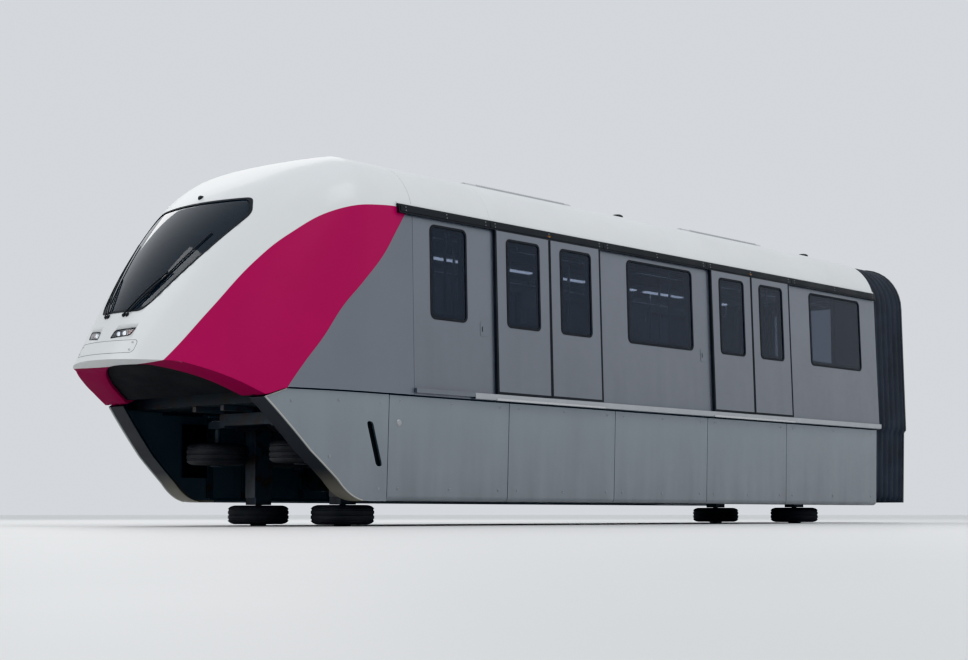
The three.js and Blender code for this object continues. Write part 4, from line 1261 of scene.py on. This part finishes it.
def roof_unit(name, a, b):
    top, half, middle = ROOF + 0.11, TRAY_HALF - 0.012, (a + b) / 2
    low, eave = TRAY_FLOOR + 0.001, ROOF + 0.03
    outline = softened([(-half, low), (half, low), (half, eave), (half - 0.09, top), (0.09 - half, top),
                        (-half, eave)], 0.012, 3)
    case = build(f"unit_{name}_case", [prism(outline, "x", a + 0.012, b - 0.012)], "unit",
                 slot="skirt_paint", replaces=f"roof_unit_{name}")
    fans = (a + 0.5, b - 0.5)
    carve(case, [lathe([(0.265, top - 0.10), (0.265, top + 0.1)], "z", (x, 0, 0), 48) for x in fans])
    round_edges(case, 0.004)
    guards, wheels = zip(*(fan(x, top) for x in fans))
    build(f"unit_{name}_guards", sum(guards, []), "black")
    build(f"unit_{name}_fans", sum(wheels, []), "hollow", smooth=50)
    slat = [(half - 0.084, top - 0.006), (half - 0.012, ROOF + 0.040), (half - 0.004, ROOF + 0.044),
            (half - 0.078, top + 0.003)]
    slats = [prism(slat, "x", x, x + 0.012)
             for x in spaced(a + 0.15, 0.045, int((b - a - 0.3) / 0.045))]
    screws = [bolt("z", (x, y, top), 0.009)
              for x in (a + 0.06, middle, b - 0.06) for y in (-0.5, -0.25, 0.25, 0.5)]
    build(f"unit_{name}_louvres", both(*slats), "unit", bevel=0.001)
    build(f"unit_{name}_screws", screws, "bright")
    eyes = [pipe(bent([(x - 0.03, 0.42, top - 0.002), (x - 0.03, 0.42, top + 0.028),
                       (x + 0.03, 0.42, top + 0.028), (x + 0.03, 0.42, top - 0.002)], 0.012), 0.005, 8)
            for x in (a + 0.25, b - 0.25, middle - 0.1, middle + 0.1)]
    seam = cuboid(middle - 0.004, middle + 0.004, -half + 0.1, half - 0.1, top - 0.001, top + 0.003)
    build(f"unit_{name}_eyes", [seam, *both(*eyes)], "cast")


def aerials():
    fin = softened([(9.30, ROOF), (9.55, ROOF), (9.46, ROOF + 0.085), (9.42, ROOF + 0.085)], 0.02)
    dome = [(0.085, 0), (0.085, 0.012), (0.075, 0.05), (0.05, 0.065), (0.01, 0.068)]
    parts = [prism(fin, "y", -0.011, 0.011),
             prism(rounded(9.26, 9.59, -0.05, 0.05, 0.045), "z", ROOF, ROOF + 0.008),
             *(lathe(dome, "z", (x, 0.74, ROOF)) for x in (0.75, 5.3))]
    build("roof_aerials", parts, "black", bevel=0.003)


# Inside

# Start and end of each wheel housing along X
HOUSINGS = {"rear": (0.19, 2.17), "front": (8.98, 10.96)}
HOUSING_HALF = 0.64
HOUSING_TOP = 1.12
LIGHT_Y = 0.88
RAIL_Y = 0.92
COVERING_TOP = FLOOR_TOP + 0.004


def floor_and_ceiling():
    xs = [0.09, *(x for a, b in HOUSINGS.values() for x in (a - 0.002, b + 0.002)), 11.08]
    ys = [1.40, HOUSING_HALF + 0.002, -HOUSING_HALF - 0.002, -1.40]
    layers = [[[(x, y, z) for x in xs] for y in ys] for z in (COVERING_TOP, FLOOR_TOP + GAP)]
    build("floor_covering", [panel(*layers, [(1, 1), (1, 3)])], "carpet", slot="interior_panel")
    skirting = [(1.40, FLOOR_TOP + 0.001), (1.435, FLOOR_TOP + 0.001), (1.435, FLOOR_TOP + 0.07),
                (1.428, FLOOR_TOP + 0.07)]
    runs = [prism(skirting, "x", a, b) for a, b in ((0.1, 2.55), (4.2, 6.8), (8.45, 9.8))]
    build("floor_skirting", both(*runs), "black")
    starts = spaced(0.42, 1.18, 8)
    lights = [prism(rounded(x, x + 0.95, LIGHT_Y - 0.045, LIGHT_Y + 0.045, 0.02, 4), "z", 2.383, 2.3995)
              for x in starts]
    # Dark strips on the ceiling: painted shade in the air slots.
    slots = [cuboid(x, x + 0.95, y, y + 0.012, 2.397, 2.3997)
             for x in starts for y in spaced(0.40, 0.03, 3)]
    build("ceiling_lights", both(*lights), "light", bevel=0.004)
    build("ceiling_air_slots", both(*slots), "hollow")


def grab_rails():
    rails = [pipe(bent([(0.35, RAIL_Y, 2.398), (0.35, RAIL_Y, 2.22), (9.55, RAIL_Y, 2.22),
                        (9.55, RAIL_Y, 2.398)], 0.06), 0.016, 12)]
    brackets = [pipe([(x, RAIL_Y, 2.23), (x, RAIL_Y, 2.398)], 0.010, 8) for x in spaced(1.6, 1.18, 7)]
    for x in (2.22, 4.55, 6.25, 8.86):
        rails.append(pipe([(x, 1.02, COVERING_TOP), (x, 1.02, CEILING)], 0.017, 12))
        brackets.append(ringed([(0.018, 0.0), (0.045, 0.0), (0.040, 0.012), (0.018, 0.014)], "z",
                               (x, 1.02, COVERING_TOP), 20))
    rails, brackets = both(*rails), both(*brackets)
    for x in (3.38, 5.4, 7.62):
        rails.append(pipe([(x, 0, COVERING_TOP), (x, 0, CEILING)], 0.018, 12))
        brackets.append(ringed([(0.019, 0.0), (0.055, 0.0), (0.048, 0.014), (0.019, 0.016)], "z",
                               (x, 0, COVERING_TOP), 24))
    build("grab_rails", rails, "bright", slot="frame_steel")
    build("grab_rail_brackets", brackets, "cast")
    pane = rounded(1.04, 1.40, 0.95, 2.0, 0.05)
    screens = [prism(pane, "x", x - 0.005, x + 0.005) for x in (2.10, 4.61, 6.19)]
    build("draught_screens", both(*screens), "lens", bevel=0.001)


def wall_linings():
    near = -WALL - 0.012
    x_cuts, z_cuts = [0.09, 9.86], [FLOOR_TOP + 0.07, WINDOW_BOTTOM, 2.2, WINDOW_TOP, 2.385]
    x_cuts += [x for a, b in SIDE_WINDOWS.values() for x in (a - 0.004, b + 0.004)]
    x_cuts += [middle + half for middle in DOORWAYS.values() for half in (-0.81, 0.81)]
    x_cuts.sort()
    holes = []
    for k, (a, b) in enumerate(zip(x_cuts, x_cuts[1:])):
        centre = (a + b) / 2
        if any(x0 < centre < x1 for x0, x1 in SIDE_WINDOWS.values()):
            holes += [(1, k), (2, k)]
        if any(abs(centre - middle) < 0.8 for middle in DOORWAYS.values()):
            holes += [(0, k), (1, k)]
    rows, back = ([[(x, side_y(z) + depth, z) for x in x_cuts] for z in z_cuts]
                  for depth in (near, near + 0.01))
    pair("wall_lining_{}", [panel(rows, back, holes)], "lining", slot="interior_panel", bevel=0.002)
    frames = []
    for a, b in SIDE_WINDOWS.values():
        outer, inner, glazing = (
            rounded(a - grow, b + grow, WINDOW_BOTTOM - grow, WINDOW_TOP + grow, radius)
            for grow, radius in ((0.03, 0.08), (-0.02, 0.05), (-0.026, 0.045)))
        frames += [wall_band(outer, inner, near - 0.012, near - GAP),
                   wall_band(inner, glazing, near - 0.004, -0.03)]
    pair("window_linings_{}", frames, "lining", bevel=0.003)
    header = [(1.385, 2.21), (1.33, 2.22), (1.22, 2.38), (1.30, 2.398), (1.385, 2.398)]
    display = [(1.318, 2.2355), (1.314, 2.2335), (1.232, 2.353), (1.236, 2.355)]
    headers, displays = ([prism(outline, "x", middle - half, middle + half)
                          for middle in DOORWAYS.values()]
                         for outline, half in ((header, 0.85), (display, 0.42)))
    pair("door_headers_{}", headers, "lining", bevel=0.008, segments=3)
    pair("door_displays_{}", displays, "display")


# Section of a seat from its front lip to the top of its back: Y, Z
SEAT_LINE = [(0.985, 0.845), (0.978, 0.872), (0.990, 0.892), (1.03, 0.899), (1.12, 0.894), (1.24, 0.888),
             (1.315, 0.892), (1.345, 0.915), (1.355, 0.96), (1.366, 1.06), (1.378, 1.15), (1.388, 1.185),
             (1.402, 1.192)]
SEAT_BEND = 7
# Start and end of each bench along X, and its number of places
BENCHES = {"middle": (4.65, 6.15, 3), "rear": (0.30, 2.05, 4)}


def seat_shell(a, b, steps=12):
    """One place of a bench: a sheet that dips towards its middle, in the seat and in the back."""
    outer, inner = [], []
    for across in between(-1, 1, steps):
        x, dip = (a + b) / 2 + (b - a) / 2 * across, 0.018 * (1 - across ** 4)
        line, under = [], []
        for n, (y, z) in enumerate(SEAT_LINE):
            share = n / (len(SEAT_LINE) - 1)
            upright = n > SEAT_BEND
            down = dip * math.sin(math.pi * min(share * 1.4, 1.0))
            rear = dip * math.sin(math.pi * (2 * share - 1)) if upright else 0
            line.append((x, y + rear, z - down))
            behind = 0.018 if upright else 0.008 if n == SEAT_BEND else 0.002
            under.append((x, y + behind, z - (0.022 if upright else 0.030)))
        outer.append(line)
        inner.append(under)
    return panel(outer, inner)


def seats():
    base = [(1.02, FLOOR_TOP + 0.005), (1.41, FLOOR_TOP + 0.005), (1.41, 1.175), (1.405, 1.175),
            (1.39, 0.87), (1.05, 0.87), (1.04, 0.80)]
    for name, (start, end, places) in BENCHES.items():
        pitch = (end - start) / places
        shells = [seat_shell(start + pitch * k + 0.006, start + pitch * (k + 1) - 0.006)
                  for k in range(places)]
        pair(f"seat_{{}}_{name}_shells", shells, "seat", slot="seat_shell", replaces=f"seat_{{}}_{name}",
             bevel=0.003, smooth=50)
        pair(f"seat_{{}}_{name}_base", [prism(base, "x", start + 0.02, end - 0.02)], "lining",
             slot="interior_panel", bevel=0.006)


def housing_covers():
    half, top = HOUSING_HALF, HOUSING_TOP
    for name, (a, b) in HOUSINGS.items():
        third = (b - a - 0.06) / 3
        lids = [cuboid(a + 0.034 + k * third, a + 0.026 + (k + 1) * third, -half + 0.03, half - 0.03,
                       top + GAP, top + 0.007) for k in range(3)]
        outer, inner = (rounded(a - grow, b + grow, -half - grow, half + grow, radius, 4)
                        for grow, radius in ((0.003, 0.02), (-0.03, 0.015)))
        edge = framed(outer, inner, top - 0.02, top + 0.010)
        y = half - 0.06
        rail = pipe(bent([(a + 0.1, y, top + 0.005), (a + 0.1, y, top + 0.30), (b - 0.1, y, top + 0.30),
                          (b - 0.1, y, top + 0.005)], 0.06), 0.015, 12)
        build(f"housing_{name}_lids", lids, "lining", slot="interior_panel", bevel=0.002)
        build(f"housing_{name}_edge", [edge], "cast", bevel=0.003)
        build(f"housing_{name}_rails", both(rail), "bright")


def cab():
    """Driving desk behind the windscreen, with a hooded console and three displays."""
    console = softened([(11.06, 0.455), (11.44, 0.455), (11.60, 0.90), (11.36, 1.115), (11.20, 1.10),
                        (11.06, 1.03)], 0.03)
    build("desk_shell", [prism(console, "y", -0.88, 0.88)], "cast", slot="interior_panel",
          replaces="front_desk", bevel=0.008, segments=3)
    hood = softened([(11.20, 1.10), (11.37, 1.115), (11.33, 1.235), (11.285, 1.245)], 0.02)
    build("desk_hood", [prism(hood, "y", -0.60, 0.60)], "black", bevel=0.008, segments=3)
    face = [(11.2245, 1.120), (11.2305, 1.117), (11.284, 1.232), (11.278, 1.232)]
    lit = [(11.2205, 1.120), (11.2265, 1.117), (11.280, 1.220), (11.274, 1.220)]
    for name, outline, half, finish, bevel in (("desk_display_frames", face, 0.17, "frit", 0.002),
                                               ("desk_displays", lit, 0.145, "display", 0)):
        build(name, [prism(outline, "y", y - half, y + half) for y in (-0.40, 0.0, 0.40)], finish,
              bevel=bevel)
    controls = [lathe([(0.014, 1.062), (0.014, 1.085), (0.011, 1.09)], "z", (11.12, y, 0), 16)
                for y in spaced(-0.72, 0.13, 12)]
    stem = bent([(11.14, 0.62, 1.07), (11.14, 0.62, 1.19), (11.10, 0.62, 1.21)], 0.02)
    grip = [(0.010, -0.045), (0.026, -0.03), (0.030, 0.0), (0.026, 0.03), (0.010, 0.045)]
    controls += [pipe(stem, 0.014, 12), lathe(grip, "y", (11.10, 0.62, 1.215), 20)]
    build("desk_controls", controls, "black", smooth=50)
    side = softened([(11.02, 0.455), (11.30, 0.455), (11.30, 1.30), (11.02, 1.30)], 0.04)
    build("desk_side_panels", both(prism(side, "y", 0.90, 0.93)), "lining", bevel=0.006)


def end_wall():
    rings = [drawn(passage(grow, 0.46, 0.12 + grow), x, "x") for x, grow in (
        (0.081, 0.07), (0.10, 0.06), (0.10, 0.005), (0.06, -0.004), (0.06, 0.01))]
    build("passage_surround", [loops(rings, closed=True)], "cast", slot="interior_panel", bevel=0.002)
    cabinets = [cuboid(0.0815, 0.098, 0.93, 1.33, z0, z1) for z0, z1 in ((0.53, 1.30), (1.32, 2.28))]
    build("end_cabinets", both(*cabinets), "lining", bevel=0.004)
    locks = [lathe([(0.012, 0.098), (0.012, 0.102), (0.009, 0.103)], "x", (0, 0.965, z), 14)
             for z in (0.62, 1.2, 1.42, 2.18)]
    build("end_cabinet_locks", both(*locks), "bright")
    build("end_display", [cuboid(0.0815, 0.105, -0.42, 0.42, 2.368, 2.398)], "display", bevel=0.003)


# Windscreen, lamps and small parts of the nose

WIPER_FOOT = (0.13, 1.095)
WIPER_REACH = (0.27, 0.45)
WIPER_GAP = 0.045


def windscreen():
    glass = screen_outline(0.006)
    build("windscreen_glass", [nose_patch(glass, 0.004, 0.012, 16)], "screen", slot="tinted_glass",
          replaces="windscreen", smooth=60)
    build("windscreen_border", [nose_band(glass, screen_outline(0.075), 0.013, 0.016)], "frit",
          smooth=60)
    build("windscreen_seal", [nose_band(screen_outline(-0.012), screen_outline(0.012), -0.003, 0.004),
                              nose_band(screen_outline(GAP), screen_outline(0.005), 0.004, 0.048)],
          "seal", bevel=0.001)
    (foot_y, foot_z), (reach_y, reach_z) = WIPER_FOOT, WIPER_REACH
    arms = []
    for shift, radius in ((0.0, 0.008), (WIPER_GAP, 0.006)):
        path = []
        for t in between(0, 1, 8):
            y, z = foot_y + reach_y * t + shift, foot_z + reach_z * t
            path.append((nose_x(y, z, -0.016 - 0.014 * math.sin(math.pi * t)), y, z))
        x = nose_x(foot_y + shift, foot_z)
        arms += [pipe(path, radius, 8), lathe([(0.020, -0.012), (0.020, 0.012), (0.012, 0.022)], "x",
                                              (x, foot_y + shift, foot_z), 20)]
    blade = on_nose([(foot_y + 0.29 + 0.31 * t, foot_z + reach_z + 0.70 * t)
                     for t in between(-0.4, 0.6, 24)], -0.010)
    build("wiper_arms", both(*arms), "black")
    build("wiper_blades", both(pipe(blade, 0.007, 8)), "seal")


def headlamps():
    rim, lens, inner = (lamp_outline(inset) for inset in (-0.002, 0.004, 0.010))
    pair("headlamp_{}_bucket", [nose_patch(lens, 0.052, 0.060), nose_band(rim, lens, 0.0, 0.055)],
         "frit", slot="lamp_lens", replaces="headlamp_{}", smooth=50)
    pair("headlamp_{}_lens", [nose_patch(inner, 0.002, 0.005)], "lens", smooth=50)
    pair("headlamp_{}_trim", [nose_band(lens, inner, -0.001, 0.006)], "seal", bevel=0.001)
    beams, cups, bars = [], [], []
    for y, z in ((0.160, 0.896), (0.230, 0.902)):
        centre = (nose_x(y, z, 0.036), y, z)
        beams.append(lathe([(0.017, -0.01), (0.017, 0.002), (0.010, 0.010)], "x", centre, 20))
        cups.append(ringed([(0.018, -0.012), (0.028, 0.010), (0.031, 0.010), (0.026, -0.012)], "x",
                           centre, 28))
    for k in range(4):
        y, z = 0.282 + 0.018 * k, 0.906 + 0.0015 * k
        x = nose_x(y, z, 0.034)
        bars.append(cuboid(x - 0.006, x, y - 0.0055, y + 0.0055, z - 0.022, z + 0.022))
    pair("headlamp_{}_beams", beams, "head")
    pair("headlamp_{}_cups", cups, "bright")
    pair("headlamp_{}_tail", bars, "tail", bevel=0.002)


def nose_details():
    """The front hatch's fine dark joint with its locks, and the camera over the windscreen."""
    hatch, inner = (resampled(rounded(-0.46 + inset, 0.46 - inset, 0.69 + inset, 0.825 - inset,
                                      0.04 - inset), 200) for inset in (0.0, 0.0035))
    build("nose_hatch_seam", [nose_band(hatch, inner, -0.0006, 0.004)], "seal")
    locks = [lathe([(0.013, -0.004), (0.013, 0.003), (0.009, 0.004)], "x",
                   (nose_x(0.41, z), 0.41, z), 16) for z in (0.72, 0.795)]
    build("nose_hatch_locks", both(*locks), "bright")
    lens = lathe([(0.030, -0.02), (0.030, 0.012), (0.020, 0.024)], "x", (nose_x(0, 2.44), 0, 2.44), 28)
    build("nose_camera", [lens], "black", smooth=50)


# Finish of the solids that stay as they are

def dress(finish, slot, edge, *names):
    for name in names:
        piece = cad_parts[name]
        piece.data.materials.clear()
        piece.data.materials.append(look[finish])
        if edge:
            round_edges(piece, edge)


def finishes():
    for side in SIDES:
        dress("silver", "silver_paint", 0.003,
              *(f"door_{side}_{doorway}_{leaf}" for doorway in DOORWAYS for leaf in WAYS))
        dress("silver", "silver_paint", 0, f"side_wall_{side}")
        dress("black", "black_trim", 0.002, f"door_track_{side}")
        dress("under", "black_trim", 0.008, f"equipment_case_{side}")
    for end in BOGIES:
        dress("housing", "interior_panel", 0.006, f"wheel_housing_{end}")
        dress("frame", "frame_steel", 0.006, f"bogie_frame_{end}")
        dress("cast", "frame_steel", 0.004, f"traction_motor_{end}")
    dress("lining", "interior_panel", 0, "ceiling_panel", "rear_end_wall")
    dress("under", "frame_steel", 0, "saloon_floor")
    dress("underpan_dark", "black_trim", 0, "nose_underpan")
    dress("endframe", "frame_steel", 0.002, "gangway_end_frame")
    dress("bright", "frame_steel", 0.002, "gangway_bridge")
    dress("frame", "frame_steel", 0.004, "drawbar")


# Stage: floor, light and camera

CAMERA_PLACE = (22.77, 14.16)
CAMERA_HEIGHT = 0.12
CAMERA_LENS = 63.5
LOOK_AT = (7.4, 0.3, 1.35)
FLOOR_REACH = 500
# One row per soft light: place, target, size, power
SOFTBOXES = [((2, 16, 20), (0, 0, 1.5), 12, 1100), ((17, -6, 16), (4, 0, 2), 9, 500),
             ((-6, -16, 16), (0, 0, 1.5), 12, 900)]


def aimed(name, kind, where, target):
    """A light or camera in the scene, turned towards a target."""
    holder = bpy.data.objects.new(name, kind)
    holder.location = where
    holder.rotation_euler = (Vector(target) - Vector(where)).to_track_quat("-Z", "Y").to_euler()
    bpy.context.scene.collection.objects.link(holder)
    return holder


def stage():
    floor_look = material("pale_floor", (0.82, 0.82, 0.81), 0.6)
    glossed(floor_look, noise(floor_look, 0.8, 4.0), 0.5, 0.6)
    mesh = bpy.data.meshes.new("studio_floor")
    corners = [(FLOOR_REACH * x, FLOOR_REACH * y, 0) for x, y in ((-1, -1), (1, -1), (1, 1), (-1, 1))]
    mesh.from_pydata(corners, [], [(0, 1, 2, 3)])
    mesh.materials.append(floor_look)
    ground = bpy.data.objects.new("studio_floor", mesh)
    bpy.context.scene.collection.objects.link(ground)
    world = bpy.data.worlds.new("studio")
    world.use_nodes = True
    backdrop = world.node_tree.nodes["Background"]
    backdrop.inputs["Color"].default_value = (0.90, 0.93, 0.97, 1)
    backdrop.inputs["Strength"].default_value = 0.78
    bpy.context.scene.world = world
    bpy.context.scene.view_settings.view_transform = "Khronos PBR Neutral"
    for k, (where, target, size, power) in enumerate(SOFTBOXES):
        lamp = bpy.data.lights.new(f"softbox_{k}", "AREA")
        lamp.energy = power
        lamp.size = size
        aimed(f"softbox_{k}", lamp, where, target)


def camera():
    lens = bpy.data.cameras.new("camera")
    lens.lens = CAMERA_LENS
    lens.sensor_width = 36
    where = (CAMERA_PLACE[0] + AFT, CAMERA_PLACE[1], CAMERA_HEIGHT)
    target = (LOOK_AT[0] + AFT, LOOK_AT[1], LOOK_AT[2] + TYRE_LEVEL)
    bpy.context.scene.camera = aimed("camera", lens, where, target)


stage()
camera()
nose_mask()
roof()
wall_pieces()
side_skirts()
front_skirts()
bellows()
gangway_ends()
for bogie_name, (bogie_x, bogie_way) in BOGIES.items():
    bogie(bogie_name, bogie_x, bogie_way)
underfloor()
for unit_name, (unit_start, unit_end) in ROOF_UNITS.items():
    roof_unit(unit_name, unit_start, unit_end)
aerials()
finishes()
floor_and_ceiling()
grab_rails()
wall_linings()
seats()
housing_covers()
cab()
end_wall()
windscreen()
headlamps()
nose_details()
